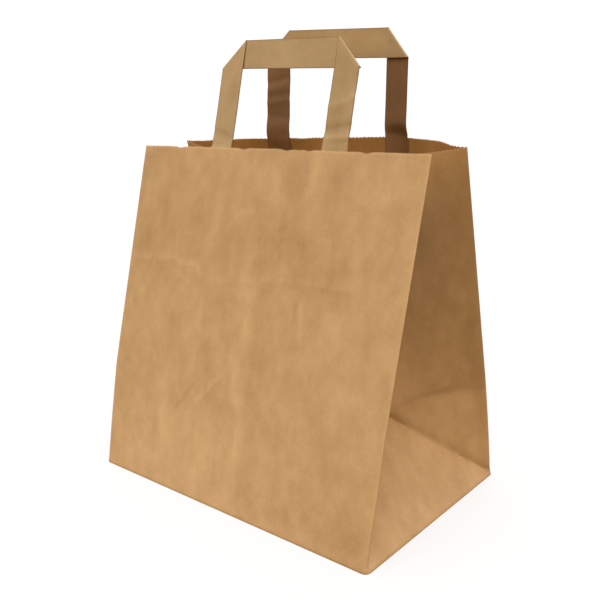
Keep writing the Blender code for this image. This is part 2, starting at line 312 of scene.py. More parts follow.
# The shallow notches of the front rim: place round the walls, reach and depth.
RIM_NOTCHES = ((108, 3, 0.9), (149, 4, 1.0), (160, 8, 0.5), (169, 3, 0.9), (213, 3, 1.0), (42, 3, 0.8))

# The wide unevenness of the paper: waves round the walls, and each one's length up the sheet.
PAPER_WAVES = ((9, 260), (13, 190), (19, 150), (27, 120), (41, 90))

# Places on the paper, in millimetres, from which the straps and the patches take their fibres.
STRAP_PAPER = 400
PATCH_PAPER = 900

# The strap's columns as shares of its width, close at the edges where its shade changes.
STRAP_COLUMNS = (0.0, 0.025, 0.06, 0.2, 0.35, 0.5, 0.65, 0.8, 0.94, 0.975, 1.0)


@dataclass(frozen=True)
class FoldedSheet:
    """The sheet's folds as rules that put each of its points in space.

    Attributes:
        width: Width of the wide panels.
        depth: Width of the gussets.
        height: Height of the sheet above the bottom folds.
        paper: Thickness of the paper.
        foot_lean: Lean of the panels' lower part, radians from upright.
        front_lean: Lean of the front panel above the foot.
        back_lean: Lean of the back panel above the foot.
        back_bow: How far the back panel's lean eases at its middle.
        back_push: How much more it eases where the panel is pushed out.
        back_push_at: Place of that push across the panel.
        back_push_reach: How far the push reaches to each side.
        front_bow: How far the front panel's lean eases at its middle.
        corner_reach: Half the width of an outer fold's curve.
        corner_reach_foot: The same at the bottom.
        gusset_reach: The same at an inner fold.
        gusset_bulge: How far the gusset's halves bulge in.
        flare: Share by which the mouth is wider than the foot.
        wave_power: How fast the waves of the free edges fade down the sheet.
        wave_end: How far from a side fold they start to fade.
        fold_steps: Number of steps along an inner fold.
    """

    width: float = 260.0
    depth: float = 170.0
    height: float = 260.0
    paper: float = 0.15
    foot_lean: float = math.radians(12.6)
    front_lean: float = math.radians(15.7)
    back_lean: float = math.radians(13.8)
    back_bow: float = math.radians(5.2)
    back_push: float = math.radians(3.8)
    back_push_at: float = 60.0
    back_push_reach: float = 40.0
    front_bow: float = math.radians(0.5)
    corner_reach: float = 1.6
    corner_reach_foot: float = 5.0
    gusset_reach: float = 2.0
    gusset_bulge: float = 2.2
    flare: float = 0.016
    wave_power: float = 1.6
    wave_end: float = 25.0
    fold_steps: int = 60

    @property
    def fold_height(self) -> float:
        """Height of the folds that lie over the block bottom."""
        return self.depth / 2

    @property
    def around(self) -> float:
        """Length of the sheet round the walls."""
        return 2 * (self.width + self.depth)

    def swing(self, side: Side, x: np.ndarray) -> np.ndarray:
        """How far a panel's lean eases towards upright at x, in radians.

        A parabola across the panel, and on the back a bell curve where it is pushed out.

        Args:
            side: Which panel.
            x: Places across the bag.

        Returns:
            The easing in radians.
        """
        across = 1.0 - np.abs(2.0 * x / self.width) ** 2.0
        if side == Side.FRONT:
            return self.front_bow * across
        push = np.exp(-(((x - self.back_push_at) / self.back_push_reach) ** 2))
        fade = smooth_step(2.0 * (1.0 - np.abs(2.0 * x / self.width)))
        return (self.back_bow * across + self.back_push * push) * fade

    def lean(self, side: Side, x: np.ndarray) -> np.ndarray:
        """A panel's lean above the foot at x, in radians from upright."""
        return (self.front_lean if side == Side.FRONT else self.back_lean) - self.swing(side, x)

    def edge_wave(self, side: Side, x: np.ndarray, v: np.ndarray) -> np.ndarray:
        """How far the panel swings towards +Y near its free edge.

        A sum of bell curves across the panel, each fading down the sheet and at the side folds.

        Args:
            side: Which panel.
            x: Places across the bag.
            v: Places up the sheet.

        Returns:
            Millimetres towards +Y.
        """
        moved = np.zeros(np.broadcast(x, v).shape)
        ends = smooth_step((self.width / 2 - np.abs(x)) / self.wave_end)
        for wave in FRONT_WAVES if side == Side.FRONT else BACK_WAVES:
            fade = np.clip(1.0 - (self.height - v) / wave.depth, 0.0, 1.2) ** self.wave_power
            moved = moved + wave.height * np.exp(-(((x - wave.at) / wave.reach) ** 2)) * fade * ends
        return moved

    def panel(self, side: Side, x: np.ndarray, v: np.ndarray) -> np.ndarray:
        """Points of the front or back panel.

        Args:
            side: Which panel.
            x: Places across the bag.
            v: Places up the sheet.

        Returns:
            Points in millimetres.
        """
        low = np.minimum(v, self.fold_height)
        high = np.maximum(v - self.fold_height, 0.0)
        lean = self.lean(side, x)
        inward = low * math.sin(self.foot_lean) + high * np.sin(lean)
        rise = low * math.cos(self.foot_lean) + high * np.cos(lean)
        wave = self.edge_wave(side, x, v)
        y = side * (self.depth / 2 - inward) + wave
        rise = rise + side * wave * np.tan(lean)
        return np.stack(np.broadcast_arrays(x, y, rise), -1).astype(float)

    @property
    def foot_tilt(self) -> float:
        """Tilt of the gusset's triangle, at which no paper there stretches."""
        return math.acos((1.0 - math.sin(self.foot_lean)) / math.cos(self.foot_lean))

    def inner_fold(self) -> np.ndarray:
        """The gusset's inner fold above its apex.

        Each point lies half a gusset from both panels' edges, and the fold keeps its own length, so
        each is where two circles cross.

        Returns:
            Rows of v, inset from the bag's side, y and z.
        """
        tilt = self.foot_tilt
        rows = np.linspace(self.fold_height, self.height, self.fold_steps + 1)
        found = [(rows[0], self.fold_height * math.sin(tilt), 0.0, self.fold_height * math.cos(tilt))]
        edge = self.width / 2
        for before, v in zip(rows[:-1], rows[1:]):
            front = self.panel(Side.FRONT, edge, v)
            back = self.panel(Side.BACK, edge, v)
            middle = (front + back) / 2
            half = np.linalg.norm(back - front) / 2
            reach = math.sqrt(self.fold_height**2 - half**2)
            _, last_inset, last_y, last_z = found[-1]
            step = math.sqrt((v - before) ** 2 - (middle[1] - last_y) ** 2)
            away = math.hypot(last_inset, middle[2] - last_z)
            along = (step**2 - reach**2 + away**2) / (2 * away)
            off = math.sqrt(max(step**2 - along**2, 0.0))
            toward = (-last_inset / away, (middle[2] - last_z) / away)
            inset = last_inset + along * toward[0] + off * toward[1]
            height = last_z + along * toward[1] - off * toward[0]
            found.append((v, inset, middle[1], height))
        return np.array(found)

    def gusset(self, s: np.ndarray, v: np.ndarray) -> np.ndarray:
        """Points of a gusset as inset from the bag's side, y and z.

        Below the apex the paper is a flat triangle between two creases at 45 degrees on the sheet.
        Above it two halves meet at the inner fold, each with a slight bulge.

        Args:
            s: Places across the gusset from the front fold.
            v: Places up the sheet.

        Returns:
            Points in millimetres.
        """
        s, v = np.broadcast_arrays(s, v)
        edges = {}
        for side in Side:
            edge = self.panel(side, np.full(s.shape, self.width / 2), v)
            edges[side] = np.stack([np.zeros(s.shape), edge[..., 1], edge[..., 2]], -1)
        first = s < self.fold_height
        near = np.where(first[..., None], edges[Side.FRONT], edges[Side.BACK])
        fold = self.inner_fold()
        middle = np.stack([np.interp(v, fold[:, 0], fold[:, k]) for k in (1, 2, 3)], -1)
        share = np.abs(s - self.fold_height) / self.fold_height
        climb = np.clip((v - self.fold_height) / (self.height - self.fold_height), 0.0, 1.0)
        bulge = self.gusset_bulge * np.sin(math.pi * share) * np.sin(math.pi * climb)
        above = middle + (near - middle) * share[..., None]
        above[..., 0] -= bulge
        tilt = self.foot_tilt
        crease = {}
        for side in Side:
            y = side * (self.depth / 2 - v)
            crease[side] = np.stack([v * math.sin(tilt), y, v * math.cos(tilt)], -1)
        flat_share = (s - v) / np.maximum(self.depth - 2 * v, 1e-9)
        triangle = crease[Side.FRONT] + (crease[Side.BACK] - crease[Side.FRONT]) * flat_share[..., None]
        from_edge = np.where(first, s, self.depth - s) / np.maximum(v, 1e-9)
        near_crease = np.where(first[..., None], crease[Side.FRONT], crease[Side.BACK])
        corner = near + (near_crease - near) * from_edge[..., None]
        below = np.where(((s >= v) & (s <= self.depth - v))[..., None], triangle, corner)
        return np.where((v > self.fold_height)[..., None], above, below)

    def sharp(self, u: np.ndarray, v: np.ndarray) -> np.ndarray:
        """Points of the walls with knife-sharp folds.

        Args:
            u: Places round the walls.
            v: Places up the sheet.

        Returns:
            Points in millimetres.
        """
        u, v = np.broadcast_arrays(np.mod(u, self.around), v)
        w, d = self.width, self.depth
        right = self.gusset(np.clip(u - w, 0, d), v)
        left = self.gusset(np.clip(self.around - u, 0, d), v)
        right[..., 0] = w / 2 - right[..., 0]
        left[..., 0] = left[..., 0] - w / 2
        front = self.panel(Side.FRONT, np.clip(u, 0, w) - w / 2, v)
        back = self.panel(Side.BACK, w / 2 - np.clip(u - w - d, 0, w), v)
        where = (u < w)[..., None], (u < w + d)[..., None], (u < 2 * w + d)[..., None]
        return np.where(where[0], front, np.where(where[1], right, np.where(where[2], back, left)))

    def wall(self, u: np.ndarray, v: np.ndarray) -> np.ndarray:
        """Points of the walls with a quadratic curve across each upright fold.

        Args:
            u: Places round the walls.
            v: Places up the sheet.

        Returns:
            Points in millimetres.
        """
        u, v = np.broadcast_arrays(np.mod(u, self.around), v)
        found = self.sharp(u, v)
        fade = np.maximum(1.0 - v / self.fold_height, 0.0) ** 2
        corner = self.corner_reach + (self.corner_reach_foot - self.corner_reach) * fade
        inner = np.clip((v - self.fold_height) / 2, 1e-6, self.gusset_reach)
        w, d = self.width, self.depth
        folds = [(at, corner) for at in (0.0, w, w + d, 2 * w + d, self.around)]
        folds += [(at, inner) for at in (w + d / 2, self.around - d / 2)]
        for at, reach in folds:
            near = np.abs(u - at) < reach
            if not near.any():
                continue
            t = ((u - at + reach) / (2 * reach))[..., None]
            before, tip, after = (self.sharp(at + k * reach, v) for k in (-1, 0, 1))
            curve = (1 - t) ** 2 * before + 2 * t * (1 - t) * tip + t**2 * after
            found = np.where(near[..., None], curve, found)
        found[..., 0] *= 1.0 + self.flare * v / self.height
        return found

    def outward(self, u: np.ndarray, v: np.ndarray) -> np.ndarray:
        """Unit normals out of the walls, from differences of the surface over a millimetre.

        Args:
            u: Places round the walls.
            v: Places up the sheet.

        Returns:
            Unit vectors.
        """
        step = 0.6
        across = self.wall(u + step, v) - self.wall(u - step, v)
        up = self.wall(u, np.minimum(v + step, self.height)) - self.wall(u, np.maximum(v - step, 0.0))
        return unit(np.cross(across, up))

    def around_place(self, side: Side, x: np.ndarray) -> np.ndarray:
        """A panel's place x as a length round the walls."""
        return x + self.width / 2 if side == Side.FRONT else self.width * 1.5 + self.depth - x

    def panel_inward(self, side: Side, x: np.ndarray, v: np.ndarray) -> np.ndarray:
        """Unit normals of a panel pointing into the bag.

        Args:
            side: Which panel.
            x: Places across the bag.
            v: Places up the sheet.

        Returns:
            Unit vectors.
        """
        step = 1.0
        across = self.panel(side, x + step, v) - self.panel(side, x - step, v)
        up = self.panel(side, x, v + step / 2) - self.panel(side, x, v - step / 2)
        normal = unit(np.cross(across, up))
        return normal * np.where(normal[..., 1] * side > 0, -1.0, 1.0)[..., None]


class Shaper:
    """Turns arrays of points into Blender meshes."""

    @staticmethod
    def mesh(
        name: str, points: np.ndarray, faces: list[list[int]], sheet: np.ndarray, wear_and_shade: np.ndarray
    ) -> bpy.types.Object:
        """A mesh object with the sheet's own map, its worn places and its painted light and shade.

        Args:
            name: The object's name.
            points: Corners in millimetres.
            faces: Lists of corner numbers, turning outwards.
            sheet: Each corner's place on the paper in millimetres.
            wear_and_shade: How much lighter the paper is at each corner, from rubbing and painted highlights;
                negative is darker, mostly painted shade.

        Returns:
            The object, smooth shaded.
        """
        data = bpy.data.meshes.new(name)
        data.from_pydata((points * MM).tolist(), [], faces)
        data.update()
        corners = np.zeros(len(data.loops), dtype=np.int64)
        data.loops.foreach_get("vertex_index", corners)
        layer = data.uv_layers.new(name="sheet")
        layer.data.foreach_set("uv", (sheet[corners] * MM).astype(np.float32).ravel())
        rub_and_shade = data.attributes.new("wear_and_shade", "FLOAT", "POINT")
        rub_and_shade.data.foreach_set("value", wear_and_shade.astype(np.float32))
        data.polygons.foreach_set("use_smooth", np.ones(len(data.polygons), dtype=bool))
        obj = bpy.data.objects.new(name, data)
        bpy.context.scene.collection.objects.link(obj)
        return obj

    @staticmethod
    def thicken(obj: bpy.types.Object, thickness: float, offset: float, lined: bool = False) -> None:
        """Gives a sheet its thickness and keeps its cut edges crisp.

        Args:
            obj: The sheet's object.
            thickness: Millimetres.
            offset: -1 grows inwards, 0 both ways.
            lined: Whether the inner face takes the object's second material.
        """
        wall = obj.modifiers.new("paper", "SOLIDIFY")
        wall.thickness = thickness * MM
        wall.offset = offset
        wall.material_offset = 1 if lined else 0
        wall.use_even_offset = False
        Shaper.crisp(obj, SHEET_SPLIT)

    @staticmethod
    def crisp(obj: bpy.types.Object, angle: float) -> None:
        """Keeps edges sharp where faces meet at more than angle, in radians."""
        obj.modifiers.new("crisp edges", "EDGE_SPLIT").split_angle = angle

    @staticmethod
    def grid_faces(rows: int, columns: int) -> list[list[int]]:
        """Four-cornered faces of a grid of rows by columns of corners."""
        lower = np.arange(rows - 1)[:, None] * columns + np.arange(columns - 1)[None, :]
        return np.stack([lower, lower + 1, lower + columns + 1, lower + columns], -1).reshape(-1, 4).tolist()


class Finish:
    """Helpers to lay shader nodes."""

    @staticmethod
    def node(tree: bpy.types.NodeTree, kind: str, **values: object) -> bpy.types.Node:
        """A new node with some of its settings.

        Args:
            tree: The tree it goes in.
            kind: The node's type.
            values: Settings by name.

        Returns:
            The node.
        """
        made = tree.nodes.new(kind)
        for key, value in values.items():
            setattr(made, key, value)
        return made

    @staticmethod
    def math(tree: bpy.types.NodeTree, operation: str, first: object, second: object) -> bpy.types.NodeSocket:
        """A sum, product or other step on two values or sockets.

        Args:
            tree: The tree it goes in.
            operation: The Math node's operation.
            first: A socket or a number.
            second: A socket or a number.

        Returns:
            The output socket.
        """
        made = tree.nodes.new("ShaderNodeMath")
        made.operation = operation
        for slot, value in enumerate((first, second)):
            if isinstance(value, (int, float)):
                made.inputs[slot].default_value = value
            else:
                tree.links.new(value, made.inputs[slot])
        return made.outputs[0]

    @staticmethod
    def split(tree: bpy.types.NodeTree, cast: object, shown: object, end: str) -> None:
        """Ends a tree with one shader for the light it casts and one for what the camera sees.

        Args:
            tree: The tree.
            cast: Output of the shader that lights the bag.
            shown: Output of the shader that the camera sees.
            end: Name of the tree's output node.
        """
        seen = Finish.node(tree, "ShaderNodeLightPath")
        choice = Finish.node(tree, "ShaderNodeMixShader")
        tree.links.new(seen.outputs["Is Camera Ray"], choice.inputs[0])
        tree.links.new(cast, choice.inputs[1])
        tree.links.new(shown, choice.inputs[2])
        tree.links.new(choice.outputs[0], tree.nodes[end].inputs["Surface"])


@dataclass(frozen=True)
class KraftPaper:
    """Uncoated brown kraft paper.

    Attributes:
        name: The material's name.
        color: Its mean colour, linear.
        mottle: How much clouds of pulp change its tone.
        streak: How much fibres drawn along the sheet change its tone.
        grain: How much the fine fibres change its tone.
        roughness: The surface's roughness.
        spread: Share by which each channel changes between mid tone and full dark or light.
        fleck: How dark the flecks are.
        rub_and_shade: How much the attribute of worn places and painted light and shade changes the tone.
        specular: The level of its weak gloss.
        bump: Strength of the fibres' bump.
        bump_depth: Height of the fibres, in metres.
    """

    name: str = "bag_kraft"
    color: tuple[float, float, float] = (0.46, 0.268, 0.125)
    mottle: float = 0.66
    streak: float = 0.45
    grain: float = 0.35
    roughness: float = 0.86
    spread: tuple[float, float, float] = (0.22, 0.26, 0.33)
    fleck: float = 0.15
    rub_and_shade: float = 0.5
    specular: float = 0.25
    bump: float = 0.35
    bump_depth: float = 0.00025

    def group(self) -> bpy.types.NodeTree:
        """The paper's look as a shared group: tone, bump height and flecks from a place on the sheet.

        Returns:
            The group, made once, with the place on the sheet as its input.
        """
        found = bpy.data.node_groups.get("kraft_fibres")
        if found:
            return found
        tree = bpy.data.node_groups.new("kraft_fibres", "ShaderNodeTree")
        tree.interface.new_socket("Place", in_out="INPUT", socket_type="NodeSocketVector")
        for label in ("Clouds", "Streaks", "Grain", "Flecks", "Height"):
            tree.interface.new_socket(label, in_out="OUTPUT", socket_type="NodeSocketFloat")
        start = Finish.node(tree, "NodeGroupInput")
        end = Finish.node(tree, "NodeGroupOutput")
        scales = {
            "Clouds": ((44.0, 32.0, 1.0), 1.0, 3.0, 0.5),
            "Streaks": ((120.0, 84.0, 1.0), 1.0, 2.0, 0.5),
            "Grain": ((560.0, 460.0, 1.0), 1.0, 3.0, 0.65),
            "Flecks": ((420.0, 240.0, 1.0), 1.0, 1.0, 0.5),
        }
        sockets = {}
        for label, (scale, size, detail, rough) in scales.items():
            mapping = Finish.node(tree, "ShaderNodeMapping")
            mapping.inputs["Scale"].default_value = scale
            tree.links.new(start.outputs["Place"], mapping.inputs["Vector"])
            noise = Finish.node(tree, "ShaderNodeTexNoise", noise_dimensions="2D")
            noise.inputs["Scale"].default_value = size
            noise.inputs["Detail"].default_value = detail
            noise.inputs["Roughness"].default_value = rough
            tree.links.new(mapping.outputs[0], noise.inputs["Vector"])
            sockets[label] = noise.outputs["Fac"]
        flecks = Finish.node(tree, "ShaderNodeMapRange")
        for label, value in (("From Min", 0.70), ("From Max", 0.80), ("To Min", 0.0), ("To Max", 1.0)):
            flecks.inputs[label].default_value = value
        tree.links.new(sockets["Flecks"], flecks.inputs["Value"])
        sockets["Flecks"] = flecks.outputs[0]
        fibres = Finish.math(tree, "MULTIPLY", sockets["Grain"], 0.5)
        streaks = Finish.math(tree, "MULTIPLY", sockets["Streaks"], 0.5)
        sockets["Height"] = Finish.math(tree, "ADD", fibres, streaks)
        for label, socket in sockets.items():
            tree.links.new(socket, end.inputs[label])
        return tree

    def material(self) -> bpy.types.Material:
        """The material: pulp clouds, streaks, grain and flecks, lighter along worn folds and painted
        highlights, darker under painted shade.

        Returns:
            The material.
        """
        made = bpy.data.materials.new(self.name)
        made.use_nodes = True
        tree = made.node_tree
        surface = tree.nodes["Principled BSDF"]
        place = Finish.node(tree, "ShaderNodeUVMap", uv_map="sheet")
        fibres = Finish.node(tree, "ShaderNodeGroup", node_tree=self.group())
        tree.links.new(place.outputs[0], fibres.inputs["Place"])
        tone = 0.5 - (self.mottle + self.streak + self.grain) / 2
        for label, amount in (("Clouds", self.mottle), ("Streaks", self.streak), ("Grain", self.grain)):
            part = Finish.math(tree, "MULTIPLY", fibres.outputs[label], amount)
            tone = Finish.math(tree, "ADD", tone, part)
        flecks = Finish.math(tree, "MULTIPLY", fibres.outputs["Flecks"], self.fleck)
        tone = Finish.math(tree, "SUBTRACT", tone, flecks)
        # The attribute holds worn places together with painted highlights and painted shade.
        wear_and_shade = Finish.node(tree, "ShaderNodeAttribute", attribute_name="wear_and_shade")
        rub_and_shade = Finish.math(tree, "MULTIPLY", wear_and_shade.outputs["Fac"], self.rub_and_shade)
        tone = Finish.math(tree, "ADD", tone, rub_and_shade)
        paint = Finish.node(tree, "ShaderNodeMix", data_type="RGBA", clamp_factor=False)
        tree.links.new(tone, paint.inputs[0])
        for slot, spread in ((6, -1.0), (7, 1.0)):
            shade = [c * (1.0 + spread * k) for c, k in zip(self.color, self.spread)]
            paint.inputs[slot].default_value = (*shade, 1.0)
        tree.links.new(paint.outputs[2], surface.inputs["Base Color"])
        surface.inputs["Roughness"].default_value = self.roughness
        surface.inputs["Specular IOR Level"].default_value = self.specular
        bump = Finish.node(tree, "ShaderNodeBump")
        bump.inputs["Strength"].default_value = self.bump
        bump.inputs["Distance"].default_value = self.bump_depth
        tree.links.new(fibres.outputs["Height"], bump.inputs["Height"])
        tree.links.new(bump.outputs[0], surface.inputs["Normal"])
        return made


@dataclass
class BagBody:
    """The folded bag: walls, gussets, serrated mouth and side lap; the flat bottom is left to BagBottom.

    Attributes:
        sheet: The folding rules.
        cell: Size of the grid's cells.
        front_cell: Their width on the front panel, which has the finest marks.
        back_cell: Their width on the back panel.
        tooth_depth: How deep the mouth's teeth are cut.
        tooth_band: Height of the strip that holds the teeth.
        lap: Width of the glued side lap.
        lap_from_fold: How far the lap's edge lies from the back left fold.
        marks_seed: Start of the random numbers for the small wrinkles.
        marks: The pressed marks and wrinkles, filled when the bag is built.
        wrinkle_counts: Small wrinkles on the front, right gusset, back and left gusset.
        wave_height: Height of the widest unevenness.
        wall_rows: Rows of the grid above the foot.
        foot_rows: Extra rows close to the bottom fold.
        lap_ramp: Way on which the sheet slips under at the side lap.
        lap_drop: How far it slips under, in thicknesses of the paper.
        tooth_tear: Most that a tooth is torn short.
        print_places: Where the front strap's legs press through the front panel, round the walls.
        print_half: Half the width of such a print.
        print_foot: Height of its lower end.
        print_raise: How far it stands out.
        knee_depth: How deep the old fold across the gussets is pressed in.
        knee_drop: How far below the apex that fold meets the outer folds.
        knee_climb: How far it climbs on its way to the middle.
        knee_run: Height over which the paper comes back out above it.
        panel_knee: How far the wide panels are pressed in at the same height.
        panel_knee_reach: How far that reaches up and down.
        shade_start: Distance above the 45 degree crease where its shade is darkest.
        facet_highlight: How much lighter the gusset is painted between the crease and the old fold, a painted
            highlight.
        wear_and_shade_range: The darkest and the lightest that worn places and painted light and shade make
            the paper.
        same_place: Distance under which two places on the sheet are the same.
    """

    sheet: FoldedSheet
    cell: float = 2.5
    front_cell: float = 1.7
    back_cell: float = 2.9
    tooth_depth: float = 0.8
    tooth_band: float = 2.4
    lap: float = 15.0
    lap_from_fold: float = 24.0
    marks_seed: int = 11
    marks: list[Mark] = field(default_factory=list)
    wrinkle_counts: tuple[int, ...] = (64, 26, 50, 22)
    wave_height: float = 0.22
    wall_rows: int = 69
    foot_rows: tuple[float, ...] = (0.5, 1.2)
    lap_ramp: float = 1.5
    lap_drop: float = 1.4
    tooth_tear: float = 0.35
    print_places: tuple[float, ...] = (79.5, 190.0)
    print_half: float = 12.0
    print_foot: float = 176.0
    print_raise: float = 0.22
    knee_depth: float = 5.0
    knee_drop: float = 11.0
    knee_climb: float = 13.0
    knee_run: float = 75.0
    panel_knee: float = 0.4
    panel_knee_reach: float = 30.0
    shade_start: float = 1.8
    facet_highlight: float = 0.35
    wear_and_shade_range: tuple[float, float] = (-2.0, 1.5)
    same_place: float = 1e-3

    def gusset_starts(self) -> tuple[float, float]:
        """Where the right and the left gusset start, round the walls."""
        return self.sheet.width, 2 * self.sheet.width + self.sheet.depth

    def knee_line(self, h: np.ndarray) -> np.ndarray:
        """Height of the gusset's old fold at the distance h from the nearer outer fold."""
        apex = self.sheet.fold_height
        return apex - self.knee_drop + self.knee_climb * h / apex

    def wrinkles(self) -> list[Mark]:
        """Small wrinkles at random places, mostly upright, on all four walls.

        Returns:
            The wrinkles as marks.
        """
        rng = np.random.default_rng(self.marks_seed)
        made = []
        w, d = self.sheet.width, self.sheet.depth
        walls = ((0, w), (w, d), (w + d, w), (2 * w + d, d))
        for (start, length), count in zip(walls, self.wrinkle_counts):
            for _ in range(count):
                u = start + rng.uniform(0.05, 0.95) * length
                v = rng.uniform(14, self.sheet.height - 12)
                run = rng.uniform(8, 38)
                tilt = rng.normal(0.0, 0.16)
                top = min(v + run * math.cos(tilt), self.sheet.height - 4)
                ends = ((u, v), (u + run * math.sin(tilt), top))
                height = rng.choice((-1.0, 1.0)) * rng.uniform(0.05, 0.17)
                made.append(Mark(ends, height, rng.uniform(1.8, 4.5)))
        return made

    def waves(self, u: np.ndarray, v: np.ndarray) -> np.ndarray:
        """Wide soft unevenness of the paper: a sum of cosines with upright crests.

        Args:
            u: Places round the walls.
            v: Places up the sheet.

        Returns:
            Millimetres outwards.
        """
        rng = np.random.default_rng(self.marks_seed + 1)
        total = np.zeros(np.broadcast(u, v).shape)
        widest = PAPER_WAVES[0][0]
        for turns, tall in PAPER_WAVES:
            phase, shift = rng.uniform(0, 2 * math.pi, 2)
            across = np.cos(2 * math.pi * u * turns / self.sheet.around + phase)
            up = np.cos(2 * math.pi * v / tall + shift)
            total += self.wave_height * math.sqrt(widest / turns) * across * up
        return total

    def strap_prints(self, u: np.ndarray, v: np.ndarray) -> np.ndarray:
        """The raised prints of the front strap's legs in the front panel, with soft edges.

        Args:
            u: Places round the walls.
            v: Places up the sheet.

        Returns:
            Millimetres outwards.
        """
        total = np.zeros(np.broadcast(u, v).shape)
        top = smooth_step((self.sheet.height + 4 - v) / 8)
        foot = smooth_step((v - self.print_foot) / 3.0)
        for centre in self.print_places:
            inside = smooth_step((self.print_half - np.abs(u - centre)) / 2.4) * foot
            total = total + self.print_raise * inside * top
        return total

    def relief(self, u: np.ndarray, v: np.ndarray) -> np.ndarray:
        """How far the paper stands off the ideal folded surface.

        Unevenness, marks and prints are added up and fade towards the folds and the foot.

        Args:
            u: Places round the walls.
            v: Places up the sheet.

        Returns:
            Millimetres outwards.
        """
        u = np.mod(u, self.sheet.around)
        total = self.waves(u, v)
        for mark in self.marks:
            total = total + mark.relief(u, v)
        total = total + self.strap_prints(u, v)
        w, d = self.sheet.width, self.sheet.depth
        folds = np.array([0, w, w + d / 2, w + d, 2 * w + d, 2 * w + d * 1.5, 2 * (w + d)])
        away = np.abs(u[..., None] - folds).min(-1)
        wide = (u < w) | ((u > w + d) & (u < 2 * w + d))
        off = np.abs(v - self.sheet.fold_height) / self.panel_knee_reach
        pressed = self.panel_knee * np.clip(1.0 - off, 0.0, 1.0) ** 2
        total = total - np.where(wide, pressed, 0.0)
        return total * smooth_step(away / 9.0) * smooth_step(v / 14.0) + self.knee(u, v)

    def knee(self, u: np.ndarray, v: np.ndarray) -> np.ndarray:
        """The old fold across the gussets near the height of the apex, pressed in as a shallow valley.

        Measured from each outer fold, the valley runs from the fold to the apex. Below it the paper
        comes back out at the 45 degree crease, above it over a longer way.

        Args:
            u: Places round the walls.
            v: Places up the sheet.

        Returns:
            Millimetres outwards.
        """
        d, apex = self.sheet.depth, self.sheet.fold_height
        moved = np.zeros(np.broadcast(u, v).shape)
        for first in self.gusset_starts():
            s = u - first
            h = np.minimum(s, d - s)
            line = self.knee_line(h)
            below = 1.0 + (v - line) / np.maximum(line - h, 1e-6)
            above = 1.0 - (v - line) / self.knee_run
            tent = np.clip(np.where(v < line, below, above), 0.0, 1.0)
            ends = smooth_step(h / 12.0) * smooth_step((apex - h) / 45.0)
            moved = moved - np.where((s > 0) & (s < d), self.knee_depth * tent * ends, 0.0)
        return moved

    def columns(self) -> np.ndarray:
        """Places of the grid's columns round the sheet, one tooth to each, closer at the folds.

        Returns:
            Places in millimetres, from the lap's edge round to the end of the lap.
        """
        w, d, c = self.sheet.width, self.sheet.depth, self.cell
        around = self.sheet.around
        places = np.concatenate([
            np.linspace(0, w, round(w / self.front_cell), endpoint=False),
            np.linspace(w, w + d, round(d / c), endpoint=False),
            np.linspace(w + d, 2 * w + d, round(w / self.back_cell), endpoint=False),
            np.linspace(2 * w + d, around, round(d / c), endpoint=False),
        ])
        close = [at + k for at in (0, w, w + d, 2 * w + d, around) for k in (-1.3, -0.6, 0.6, 1.3)]
        close += [at + k for at in (w + d / 2, around - d / 2) for k in (-1.0, 1.0)]
        places = np.unique(np.round(np.mod(np.concatenate([places, close]), around), 4))
        start = 2 * w + d - self.lap_from_fold
        turned = np.concatenate([places[places >= start], places[places < start] + around])
        lap = turned[turned < start + self.lap] + around
        return np.concatenate([turned, lap])

    def rows(self) -> np.ndarray:
        """Heights of the grid's rows, even in the foot so that its creases run through corners.

        Returns:
            Heights in millimetres.
        """
        sheet = self.sheet
        foot = np.arange(round(sheet.fold_height / self.cell) + 1) * self.cell
        wall = np.linspace(sheet.fold_height, sheet.height - self.tooth_band, self.wall_rows)[1:]
        return np.unique(np.round(np.concatenate([foot, self.foot_rows, wall]), 4))

    def build(self) -> bpy.types.Object:
        """The bag's mesh with its worn places, its painted light and shade, and its thickness.

        Returns:
            The bag without its bottom.
        """
        self.marks = [*FRONT_MARKS, *self.wrinkles()]
        places, rows = self.columns(), self.rows()
        count = len(places)
        tips = (places[:-1] + places[1:]) / 2
        u = np.concatenate([np.tile(places, len(rows)), places, tips])
        rim = self.sheet.height - self.rim_drop(np.concatenate([places, tips]))
        rim[:count] -= self.tooth_depth
        v = np.concatenate([np.repeat(rows, count), rim])
        over = smooth_step((u - (places[0] + self.sheet.around) + self.lap_ramp) / self.lap_ramp)
        lift = self.relief(u, v) - over * self.lap_drop * self.sheet.paper
        points = self.sheet.wall(u, v) + self.sheet.outward(u, v) * lift[:, None]
        faces = self.wall_faces(places, rows)
        top = (len(rows) - 1) * count
        valley, tip = len(rows) * count, (len(rows) + 1) * count
        for k in range(count - 1):
            faces.append([top + k, top + k + 1, valley + k + 1, tip + k, valley + k])
        obj = Shaper.mesh("bag_sheet", points, faces, np.stack([u, v], -1), self.wear_and_shade(u, v))
        Shaper.thicken(obj, self.sheet.paper, -1.0, lined=True)
        return obj

    def rim_drop(self, u: np.ndarray) -> np.ndarray:
        """How far the cut mouth lies below the full height: torn teeth and a few shallow notches.

        Args:
            u: Places round the walls.

        Returns:
            Millimetres.
        """
        rng = np.random.default_rng(self.marks_seed + 2)
        drop = rng.uniform(0.0, self.tooth_tear, len(u))
        for at, wide, deep in RIM_NOTCHES:
            drop = drop + deep * np.exp(-(((np.mod(u, self.sheet.around) - at) / wide) ** 2))
        return drop

    def slant(self, start: float, end: float, low: float) -> int:
        """Which way a face is cut by a 45 degree crease.

        Args:
            start: The face's first column, round the walls.
            end: Its last column.
            low: Its lower row.

        Returns:
            1 where the crease climbs to the right, -1 where it climbs to the left, otherwise 0.
        """
        if low >= self.sheet.fold_height - self.same_place:
            return 0
        found = 0
        for first in self.gusset_starts():
            if abs(start - first - low) < self.same_place:
                found = 1
            elif abs(first + self.sheet.depth - end - low) < self.same_place:
                found = -1
        return found

